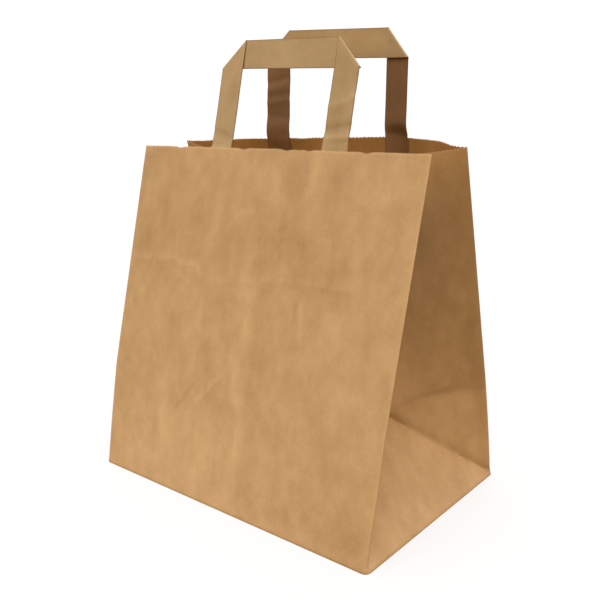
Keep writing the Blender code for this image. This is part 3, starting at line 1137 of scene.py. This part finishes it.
    def wall_faces(self, places: np.ndarray, rows: np.ndarray) -> list[list[int]]:
        """The walls' faces, cut along the 45 degree creases at the foot of the gussets.

        Args:
            places: The columns.
            rows: The rows.

        Returns:
            Lists of corner numbers.
        """
        faces = []
        count, around = len(places), self.sheet.around
        for r, low in enumerate(rows[:-1]):
            for k in range(count - 1):
                a = r * count + k
                ring = (a, a + 1, a + count + 1, a + count)
                slant = self.slant(places[k] % around, places[k + 1] % around, low)
                if slant > 0:
                    faces += [[ring[0], ring[1], ring[2]], [ring[0], ring[2], ring[3]]]
                elif slant < 0:
                    faces += [[ring[0], ring[1], ring[3]], [ring[1], ring[2], ring[3]]]
                else:
                    faces.append(list(ring))
        return faces

    def gusset_wear_and_shade(self, u: np.ndarray, v: np.ndarray, first: float) -> np.ndarray:
        """Lightness of one gusset: painted shade, a painted highlight on its facet, and its worn old folds.

        The painted shade lies above the 45 degree crease in the gusset's rear half and is darkest at the
        bottom corner. The facet between that crease and the old fold has a painted highlight where it catches
        the light.

        Args:
            u: Places round the walls.
            v: Places up the sheet.
            first: Where the gusset starts.

        Returns:
            The change in lightness; negative is darker.
        """
        d, apex = self.sheet.depth, self.sheet.fold_height
        s = np.clip(u - first, 0, d)
        h = np.minimum(s, d - s)
        inside = (u > first) & (u < first + d)
        rear = (s > d / 2) == (first == self.sheet.width)
        line = self.knee_line(h)
        over = (v - h) / math.sqrt(2)
        off = over - self.shade_start
        # Painted shade above the crease and in the bottom corner, a painted highlight on the facet, worn old
        # folds.
        band = np.where(over > -0.5, CREASE_SHADE.at(off), 0.0) * smooth_step((apex + 8 - v) / 10)
        corner = np.where(over > 0.0, CORNER_SHADE.at(off), 0.0) * np.exp(-((v / 8.0) ** 2))
        facet = self.facet_highlight * smooth_step((line - v) / 4.0) * smooth_step(over / 6.0)
        knee = KNEE_RUB.at(v - line) * smooth_step((75 - h) / 30)
        fold = np.where(v > apex, INNER_FOLD_RUB.at(np.abs(u - first - d / 2)), 0.0)
        return np.where(inside & rear, band + corner, 0.0) + np.where(inside, facet + knee, 0.0) + fold

    def wear_and_shade(self, u: np.ndarray, v: np.ndarray) -> np.ndarray:
        """How worn the paper is along folds and mouth, with painted shade at the foot and in the gussets,
        painted highlights and shade along the marks, and the front panel's blots of painted light and shade
        and uneven paper.

        Args:
            u: Places round the walls.
            v: Places up the sheet.

        Returns:
            The lightness; negative is darker, mostly painted shade.
        """
        u = np.mod(u, self.sheet.around)
        w, d = self.sheet.width, self.sheet.depth
        corners = np.array([0, w, w + d, 2 * w + d, self.sheet.around])
        rub_and_shade = CORNER_RUB.at(np.abs(u[..., None] - corners).min(-1))
        rub_and_shade += FOOT_SHADE.at(v) + RIM_RUB.at(self.sheet.height - v)
        for first in self.gusset_starts():
            rub_and_shade += self.gusset_wear_and_shade(u, v, first)
        for mark in self.marks:
            if mark.light:
                rub_and_shade += mark.rub_and_shade(u, v)
        for blot in FRONT_BLOTS:
            rub_and_shade += blot.shade(u, v) * (u < w)
        return np.clip(rub_and_shade, *self.wear_and_shade_range)


@dataclass
class BagBottom:
    """The block bottom: side flaps, back flap and front flap, folded flat and glued in that order.

    Attributes:
        sheet: The folding rules.
        ply: Height taken by each ply.
        overlap: How far the front flap reaches past the middle.
        inset: How far the plies lie inside the bottom folds.
        flap_gap: How far the back flap stops short of the middle, and the side flaps of their cut.
    """

    sheet: FoldedSheet
    ply: float = 0.2
    overlap: float = 18.0
    inset: float = 0.35
    flap_gap: float = 4.0

    def outline(self, inset: float, count: int = 384) -> np.ndarray:
        """The bottom's outline with its soft corners, drawn in by inset, as count corners.

        Args:
            inset: How far it is drawn in.
            count: Number of its corners.

        Returns:
            Corners in plan.
        """
        u = np.linspace(0, self.sheet.around, count, endpoint=False)
        ring = self.sheet.wall(u, np.zeros(len(u)))[:, :2]
        return ring * (1.0 - inset / np.abs(ring).max(0))

    def flap(self, name: str, polygon: np.ndarray, height: float, thickness: float) -> bpy.types.Object:
        """A flat ply of paper with the given outline.

        Args:
            name: The object's name.
            polygon: Corners in plan, anticlockwise seen from above.
            height: Height of its underside.
            thickness: The ply's thickness.

        Returns:
            The object.
        """
        count = len(polygon)
        low = np.column_stack([polygon, np.full(count, height)])
        high = np.column_stack([polygon, np.full(count, height + thickness)])
        faces = [list(range(count))[::-1], list(range(count, 2 * count))]
        faces += [[k, (k + 1) % count, (k + 1) % count + count, k + count] for k in range(count)]
        points = np.concatenate([low, high])
        obj = Shaper.mesh(name, points, faces, points[:, :2], np.zeros(2 * count))
        Shaper.crisp(obj, PLY_SPLIT)
        return obj

    def clip_half(self, ring: np.ndarray, axis: np.ndarray, limit: float) -> np.ndarray:
        """The part of a polygon where its distance along axis is at most limit.

        Args:
            ring: The polygon's corners.
            axis: A direction in plan.
            limit: Where the cut lies along it.

        Returns:
            The cut polygon's corners.
        """
        kept = []
        for a, b in zip(ring, np.roll(ring, -1, axis=0)):
            da, db = float(a @ axis) - limit, float(b @ axis) - limit
            if da <= 0:
                kept.append(a)
            if da * db < 0:
                kept.append(a + (b - a) * (da / (da - db)))
        return np.array(kept)

    def build(self) -> list[bpy.types.Object]:
        """The plies, from the inner side flaps down to the front flap.

        Returns:
            The plies' objects.
        """
        ring = self.outline(self.inset)
        half_w, half_d = self.sheet.width / 2, self.sheet.depth / 2
        slope = 1.0 / math.sqrt(2)
        plies = [self.flap("bottom_inside", ring, 3 * self.ply, self.sheet.paper)]
        reach = half_d * 0.98
        limit = (2 * half_d - half_w) * slope + self.flap_gap
        for k, word in ((1, "right"), (-1, "left")):
            side = self.clip_half(ring, np.array([-k, 0.0]), -(half_w - reach))
            for j in (-1, 1):
                side = self.clip_half(side, np.array([-k * slope, j * slope]), limit)
            plies.append(self.flap(f"bottom_side_flap_{word}", side, 2 * self.ply, self.sheet.paper))
        back = self.clip_half(ring, np.array([0.0, -1.0]), self.flap_gap)
        front = self.clip_half(ring, np.array([0.0, 1.0]), self.overlap)
        corner = (half_w - half_d) * slope
        for k in (-1, 1):
            back = self.clip_half(back, np.array([k * slope, -slope]), corner)
            front = self.clip_half(front, np.array([k * slope, slope]), corner)
        plies.append(self.flap("bottom_back_flap", back, self.ply, self.sheet.paper))
        plies.append(self.flap("bottom_front_flap", front, 0.0, self.sheet.paper))
        return plies


def level_paper(u: np.ndarray, v: np.ndarray) -> np.ndarray:
    """The relief of paper without marks: nothing anywhere."""
    return np.zeros(np.broadcast(u, v).shape)


@dataclass
class Handle:
    """A flat folded strap: two legs outside, a bar inside, joined by folds at 45 degrees.

    Attributes:
        sheet: The folding rules.
        side: The panel that it is glued to.
        shift: How far its middle lies off the panel's middle.
        lean: The legs' lean above the mouth.
        tilt: How much higher the left end stands than the right, radians.
        twist: How far the right leg is turned about its inner edge, as a slope.
        strap: Width of the strap.
        thickness: Its thickness.
        width: Width over both legs.
        opening: Height of the legs' inner edges above the mouth.
        bend: Height over which the legs turn from the panel's lean to their own.
        glue: Thickness of the glue between panel and strap.
        end: Where the strap's ends lie, up from the mouth.
        stand_off: How far the bar's lower edge stands off the legs.
        fold_room: Room between the layers in a corner's fold.
        ripple: Height of the strap's soft unevenness.
        leg_steps: Rows in the glued part of a leg and in its free part.
        fold_steps: Rows over a corner's fold.
        bar_steps: Rows along the bar.
        marks: Crumples as marks in x from the handle's middle and height above the mouth.
        relief: How far the panel's paper stands out at a place on the sheet.
    """

    sheet: FoldedSheet
    side: Side
    shift: float
    lean: float
    tilt: float = 0.0
    twist: float = 0.0
    strap: float = 20.5
    thickness: float = 0.5
    width: float = 125.0
    opening: float = 56.0
    bend: float = 14.0
    glue: float = 0.3
    end: float = -86.0
    stand_off: float = 0.9
    fold_room: float = 0.06
    ripple: float = 0.10
    leg_steps: tuple[int, int] = (20, 46)
    fold_steps: int = 7
    bar_steps: int = 61
    marks: tuple[Mark, ...] = ()
    relief: Callable[[np.ndarray, np.ndarray], np.ndarray] = level_paper

    def place(self, x: np.ndarray, s: np.ndarray, depth: np.ndarray) -> np.ndarray:
        """Points of the handle in space.

        Args:
            x: Places across the bag.
            s: Heights above the mouth, along the strap's plane.
            depth: How deep in from the handle's outer face.

        Returns:
            Points in millimetres.
        """
        x, s, depth = (np.asarray(k, float) for k in np.broadcast_arrays(x, s, depth))
        side, sheet = self.side, self.sheet
        inset = sheet.paper + self.glue + depth
        below = sheet.height + np.minimum(s, 0.0)
        glued = sheet.panel(side, x, below)
        off = inset - self.relief(sheet.around_place(side, x), below)
        glued += sheet.panel_inward(side, x, below) * off[..., None]
        base = sheet.panel(side, x, np.full(x.shape, sheet.height))
        ends = [self.shift + k * (self.width - self.strap) / 2 for k in (-1, 1)]
        first, last = (sheet.panel(side, np.array(at), np.array(sheet.height)) for at in ends)
        line = first + (last - first) * ((x - ends[0]) / (ends[1] - ends[0]))[..., None]
        settle = smooth_step(s / self.bend)
        base = base + (line - base) * settle[..., None]
        start = sheet.lean(side, x)
        turn = start + (self.lean - start) * settle
        rise = np.stack([np.zeros(x.shape), -side * np.sin(turn), np.cos(turn)], -1)
        normal = np.stack([np.zeros(x.shape), -side * np.cos(turn), -np.sin(turn)], -1)
        up = s - (x - self.shift) * math.tan(self.tilt) * settle
        free = base + rise * up[..., None] + normal * inset[..., None]
        free[..., 1] -= self.twist * np.maximum(x - self.shift - self.width / 2 + self.strap, 0.0) * settle
        return np.where((s <= 0)[..., None], glued, free)

    def crumple(self, x: np.ndarray, s: np.ndarray) -> np.ndarray:
        """How far the crumples push the strap in, in millimetres.

        Args:
            x: Places across the bag.
            s: Heights above the mouth.

        Returns:
            Millimetres inwards.
        """
        total = self.ripple * np.sin(s / 9.0 + x / 31.0) * smooth_step(s / 12.0)
        for mark in self.marks:
            total = total - mark.relief(x - self.shift, s)
        return total

    @property
    def layer(self) -> float:
        """How deep the bar's layer lies behind the legs'."""
        return self.thickness + self.fold_room

    def ribbon(self) -> np.ndarray:
        """Rows across the strap, up a leg, over the corner, along the bar and down again.

        Each row joins the strap's outer edge to its inner edge. In the legs the rows shear until they lie
        along the 45 degree fold, a half circle takes them over the fold, and in the bar they shear back.

        Returns:
            Rows of the outer edge's x and height, the inner edge's x and height, and both depths.
        """
        half, w, top, gap = self.width / 2, self.strap, self.opening + self.strap, self.layer
        glued, free = self.leg_steps
        heights = np.linspace(self.end, 0.0, glued), np.linspace(0.0, 1.0, free)[1:] * self.opening
        rows = []
        for s in np.concatenate(heights):
            inner = s if s <= 0 else s * top / self.opening
            rows.append((-half, s, -half + w, inner, 0.0, 0.0))
        for turn in np.linspace(0, math.pi, self.fold_steps)[1:-1]:
            out = math.sin(turn) * gap / 2 / math.sqrt(2)
            deep = (1 - math.cos(turn)) * gap / 2
            rows.append((-half - out, self.opening + out, -half + w - out, top + out, deep, deep))
        bar = []
        for t in np.linspace(0, 1, self.bar_steps):
            bar.append((-half + 2 * half * t, self.opening, (-half + w) * (1 - 2 * t), top, gap, gap))
        mirrored = [(-a, sa, -b, sb, da, db) for a, sa, b, sb, da, db in rows[::-1]]
        return np.array(rows + bar + mirrored)

    def layer_depth(self, x: np.ndarray, s: np.ndarray, depth: np.ndarray, q: np.ndarray) -> np.ndarray:
        """Depth of the strap's middle layer, with the bar's lower edge standing off and the crumples.

        Args:
            x: Places from the handle's middle.
            s: Heights above the mouth.
            depth: The ribbon's own depth.
            q: Places across the strap as shares of its width.

        Returns:
            Depths in millimetres from the handle's outer face.
        """
        in_bar = smooth_step(depth / self.layer)
        away = np.clip((self.width / 2 - self.strap / 2 - np.abs(x)) / 30.0, 0, 1)
        depth = depth + in_bar * self.stand_off * (1 - q) * (1 - 0.5 * smooth_step(away))
        return depth + self.crumple(x + self.shift, s) + self.thickness / 2

    def wear_and_shade(self, x: np.ndarray, s: np.ndarray, q: np.ndarray) -> np.ndarray:
        """Lightness of the strap, with painted shade along its edges and the marks' painted highlights and
        shade.

        Args:
            x: Places from the handle's middle.
            s: Heights above the mouth.
            q: Places across the strap as shares of its width.

        Returns:
            The lightness; negative is darker.
        """
        rub_and_shade = STRAP_EDGE_SHADE.at(np.minimum(q, 1 - q) * self.strap) * np.ones(x.shape)
        for mark in self.marks:
            rub_and_shade = rub_and_shade + mark.rub_and_shade(x, s)
        return rub_and_shade

    def build(self, name: str) -> bpy.types.Object:
        """The strap as one ribbon that runs up a leg, turns, crosses and runs down again.

        Args:
            name: The object's name.

        Returns:
            The handle.
        """
        rows = self.ribbon()
        q = np.array(STRAP_COLUMNS)[None, :]
        across = q.shape[1]
        ends = ((0, 2), (1, 3), (4, 5))
        x, s, depth = (rows[:, [outer]] * (1 - q) + rows[:, [inner]] * q for outer, inner in ends)
        points = self.place(x + self.shift, s, self.layer_depth(x, s, depth, q))
        lengths = np.linalg.norm(np.diff(points[:, across // 2], axis=0), axis=-1)
        along = np.concatenate([[0.0], np.cumsum(lengths)])
        start = STRAP_PAPER * (2 + int(self.side))
        sheet = np.stack(np.broadcast_arrays(q * self.strap + start, along[:, None]), -1)
        faces = Shaper.grid_faces(len(rows), across)
        if self.side == Side.BACK:
            faces = [face[::-1] for face in faces]
        wear_and_shade = self.wear_and_shade(x, s, q)
        obj = Shaper.mesh(name, points.reshape(-1, 3), faces, sheet.reshape(-1, 2), wear_and_shade.ravel())
        Shaper.thicken(obj, self.thickness, 0.0, lined=True)
        return obj


@dataclass
class Patch:
    """The paper patch glued inside a panel, over the ends of a handle's legs.

    Attributes:
        handle: The handle that it holds.
        length: Its length across the bag.
        height: Its height.
        drop: How far its upper edge lies below the mouth.
        ramp: Way on which it comes down beside a leg.
        clearance: Room between a leg and the patch.
        ripple: Height of its soft unevenness.
        grid: Its columns and rows.
    """

    handle: Handle
    length: float = 190.0
    height: float = 52.0
    drop: float = 42.0
    ramp: float = 4.0
    clearance: float = 0.3
    ripple: float = 0.05
    grid: tuple[int, int] = (153, 19)

    def build(self, name: str) -> bpy.types.Object:
        """The patch, raised over both legs and lying on the panel elsewhere.

        Args:
            name: The object's name.

        Returns:
            The patch.
        """
        handle = self.handle
        columns, rows = self.grid
        x = np.linspace(-self.length / 2, self.length / 2, columns)[None, :] + handle.shift
        s = np.linspace(-self.drop - self.height, -self.drop, rows)[:, None]
        away = np.abs(np.abs(x - handle.shift) - (handle.width - handle.strap) / 2) - handle.strap / 2
        raised = handle.thickness + self.clearance
        ripple = self.ripple * np.sin(x / 7.0) * np.sin(s / 5.0)
        depth = raised * smooth_step(1.0 - (away - handle.glue) / self.ramp) + ripple
        points = handle.place(x, s, depth)
        sheet = np.stack(np.broadcast_arrays(x + PATCH_PAPER, s), -1)
        faces = Shaper.grid_faces(s.shape[0], x.shape[1])
        if handle.side == Side.FRONT:
            faces = [face[::-1] for face in faces]
        wear_and_shade = np.zeros(points.shape[:2])
        obj = Shaper.mesh(name, points.reshape(-1, 3), faces, sheet.reshape(-1, 2), wear_and_shade.ravel())
        Shaper.thicken(obj, handle.sheet.paper, -1.0)
        return obj


@dataclass(frozen=True)
class Lamp:
    """A soft light far enough off to be even.

    Attributes:
        name: The light's name.
        azimuth: Where it stands, degrees from the front towards the bag's right.
        elevation: How high it stands, degrees.
        power: Its strength.
        size: How wide it looks from the bag, degrees.
        color: Its tint.
    """

    name: str
    azimuth: float
    elevation: float
    power: float
    size: float
    color: tuple[float, float, float]

    def build(self) -> bpy.types.Object:
        """The light, turned towards the bag.

        Returns:
            The light's object.
        """
        data = bpy.data.lights.new(self.name, "SUN")
        data.angle = math.radians(self.size)
        data.energy = self.power
        data.color = self.color
        obj = bpy.data.objects.new(self.name, data)
        round_, up = math.radians(self.azimuth), math.radians(self.elevation)
        toward = Vector((math.sin(round_) * math.cos(up), -math.cos(round_) * math.cos(up), math.sin(up)))
        obj.rotation_euler = toward.to_track_quat("Z", "Y").to_euler()
        bpy.context.scene.collection.objects.link(obj)
        return obj


@dataclass
class Studio:
    """Pale floor, soft light and the camera at the photo's place.

    Attributes:
        camera_at: Where the camera stands, in metres.
        yaw: Its heading to the left of +Y, degrees.
        pitch: How far it looks down, degrees.
        roll: How far it leans, degrees.
        lens: Its focal length in millimetres.
        sensor: The width of its sensor in millimetres.
        lamps: The lights.
        white: Strength of the white behind the bag.
        fill: Strength of the weak light from all round.
        fill_color: Its tint.
        bounce: How much of its light the floor near the bag throws back.
        bounce_reach: Where that starts to fade and where it ends, in metres from the middle.
        floor_half: Half the floor's side, in metres.
        floor_drop: How far the floor lies below the bag, in metres.
        floor_color: Its colour.
        floor_roughness: Its roughness.
        floor_glow: How much of its white doesn't depend on the lights.
    """

    camera_at: tuple[float, float, float] = (0.3705, -0.4289, 0.2853)
    yaw: float = 40.03
    pitch: float = 14.61
    roll: float = -1.36
    lens: float = 46.58
    sensor: float = 36.0
    lamps: tuple[Lamp, ...] = (
        Lamp("right", 70.0, 48.0, 2.3, 60.0, (1.0, 0.88, 0.53)),
        Lamp("front", -10.0, 35.0, 1.9, 65.0, (1.0, 0.93, 0.62)),
        Lamp("top", 0.0, 90.0, 5.2, 60.0, (0.36, 0.62, 1.0)),
        Lamp("behind", -150.0, 38.0, 1.7, 60.0, (1.0, 0.80, 0.55)),
    )
    white: float = 1.05
    fill: float = 0.16
    fill_color: tuple[float, float, float] = (1.0, 0.26, 0.04)
    bounce: float = 0.3
    bounce_reach: tuple[float, float] = (0.10, 0.34)
    floor_half: float = 9.0
    floor_drop: float = 0.0002
    floor_color: tuple[float, float, float] = (0.155, 0.129, 0.112)
    floor_roughness: float = 0.9
    floor_glow: float = 0.76

    def camera(self) -> bpy.types.Object:
        """The camera, from its heading, pitch and roll.

        Returns:
            The camera's object.
        """
        yaw, pitch, roll = (math.radians(a) for a in (self.yaw, self.pitch, self.roll))
        level = np.array([-math.sin(yaw), math.cos(yaw), 0.0])
        ahead = level * math.cos(pitch) - np.array([0.0, 0.0, math.sin(pitch)])
        right = np.array([math.cos(yaw), math.sin(yaw), 0.0])
        up = np.cross(right, ahead)
        rolled_right = math.cos(roll) * right + math.sin(roll) * up
        rolled_up = -math.sin(roll) * right + math.cos(roll) * up
        turn = Matrix(np.column_stack([rolled_right, rolled_up, -ahead]).tolist()).to_4x4()
        data = bpy.data.cameras.new("camera")
        data.lens = self.lens
        data.sensor_width = self.sensor
        obj = bpy.data.objects.new("camera", data)
        obj.matrix_world = Matrix.Translation(self.camera_at) @ turn
        bpy.context.scene.collection.objects.link(obj)
        bpy.context.scene.camera = obj
        return obj

    def surroundings(self) -> None:
        """White to look at, and a weak warm light from all round on the bag."""
        world = bpy.data.worlds.new("studio")
        bpy.context.scene.world = world
        world.use_nodes = True
        tree = world.node_tree
        white = tree.nodes["Background"]
        white.inputs["Color"].default_value = (1.0, 1.0, 1.0, 1.0)
        white.inputs["Strength"].default_value = self.white
        fill = Finish.node(tree, "ShaderNodeBackground")
        fill.inputs["Color"].default_value = (*self.fill_color, 1.0)
        fill.inputs["Strength"].default_value = self.fill
        Finish.split(tree, fill.outputs[0], white.outputs[0], "World Output")

    def floor_finish(self) -> bpy.types.Material:
        """The floor's material: white to look at, with a bounce on the bag that fades away from it.

        Returns:
            The material.
        """
        made = bpy.data.materials.new("floor")
        made.use_nodes = True
        tree = made.node_tree
        surface = tree.nodes["Principled BSDF"]
        surface.inputs["Base Color"].default_value = (*self.floor_color, 1.0)
        surface.inputs["Roughness"].default_value = self.floor_roughness
        surface.inputs["Specular IOR Level"].default_value = 0.0
        surface.inputs["Emission Color"].default_value = (1.0, 1.0, 1.0, 1.0)
        surface.inputs["Emission Strength"].default_value = self.floor_glow
        card = Finish.node(tree, "ShaderNodeBsdfDiffuse")
        place = Finish.node(tree, "ShaderNodeTexCoord")
        away = Finish.node(tree, "ShaderNodeVectorMath", operation="LENGTH")
        tree.links.new(place.outputs["Object"], away.inputs[0])
        share = Finish.node(tree, "ShaderNodeMapRange", interpolation_type="SMOOTHSTEP")
        labels = ("From Min", "From Max", "To Min", "To Max")
        for label, value in zip(labels, (*self.bounce_reach, self.bounce, 0.0)):
            share.inputs[label].default_value = value
        tree.links.new(away.outputs["Value"], share.inputs["Value"])
        tree.links.new(share.outputs[0], card.inputs["Color"])
        Finish.split(tree, card.outputs[0], surface.outputs[0], "Material Output")
        return made

    def floor(self) -> bpy.types.Object:
        """The pale floor.

        Returns:
            The floor's object.
        """
        half = self.floor_half
        ring = [(-half, -half, 0.0), (half, -half, 0.0), (half, half, 0.0), (-half, half, 0.0)]
        data = bpy.data.meshes.new("floor")
        data.from_pydata(ring, [], [[0, 1, 2, 3]])
        data.materials.append(self.floor_finish())
        obj = bpy.data.objects.new("floor", data)
        bpy.context.scene.collection.objects.link(obj)
        obj.location.z = -self.floor_drop
        obj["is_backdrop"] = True
        return obj

    def build(self) -> None:
        """Sets the scene."""
        self.camera()
        for lamp in self.lamps:
            lamp.build()
        self.surroundings()
        self.floor()
        bpy.context.scene.view_settings.view_transform = "Standard"


def dress(
    obj: bpy.types.Object, materials: tuple[bpy.types.Material, ...], nodes: tuple[str, ...]
) -> None:
    """Gives a piece its materials and ties it to the frame.

    Args:
        obj: The piece.
        materials: Its finish, and the finish of its inner face where it has another.
        nodes: The frame's nodes that it stands for.
    """
    for material in materials:
        obj.data.materials.append(material)
    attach(obj, "root")
    if nodes:
        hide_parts(*nodes)
    LOG.info("%s: %d corners, %d faces", obj.name, len(obj.data.vertices), len(obj.data.polygons))


def corners() -> list[list[float]]:
    """The shown object's lowest and highest corners as plain lists."""
    return [[float(value) for value in corner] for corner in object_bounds()]


def main() -> None:
    """Builds the bag piece by piece, then the studio."""
    logging.basicConfig(level=logging.INFO, format="%(message)s")
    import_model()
    sheet = FoldedSheet()
    bag = KraftPaper().material()
    # The inner faces take a darker, more saturated copy of the bag's paper: painted shade of the bag's
    # inside.
    inside_shade = KraftPaper("bag_kraft_painted_shade", (0.36, 0.175, 0.055)).material()
    strap = KraftPaper("strap_kraft", (0.39, 0.248, 0.124), 0.50, 0.40, 0.22, 0.84).material()
    # A darker copy of the strap's paper on the back strap's inner face: painted shade of the back legs.
    shaded = KraftPaper("strap_kraft_painted_shade", (0.22, 0.108, 0.047), 0.50, 0.40, 0.22, 0.84).material()
    patch = KraftPaper("patch_kraft", (0.40, 0.225, 0.085), 0.40, 0.25, 0.25, 0.86).material()
    body = BagBody(sheet)
    dress(body.build(), (bag, inside_shade), ("bag_body",))
    for ply in BagBottom(sheet).build():
        dress(ply, (bag,), ())
    lean, tilt = math.radians(14.9), math.radians(2.0)
    front = Handle(sheet, Side.FRONT, 6.0, lean, tilt, marks=FRONT_STRAP_MARKS, relief=body.relief)
    lean, tilt = math.radians(-3.0), math.radians(3.1)
    back = Handle(
        sheet, Side.BACK, 12.5, lean, tilt, 0.36, width=122.0, marks=BACK_STRAP_MARKS, relief=body.relief
    )
    for handle, word in ((front, "front"), (back, "back")):
        # The back strap's inner face, turned to the front, takes the painted shade.
        inner = shaded if handle is back else strap
        dress(handle.build(f"{word}_handle_strap"), (strap, inner), (f"{word}_handle",))
        dress(Patch(handle).build(f"{word}_patch"), (patch,), (f"{word}_handle_patch",))
    Studio().build()


if __name__ == "__main__":
    main()
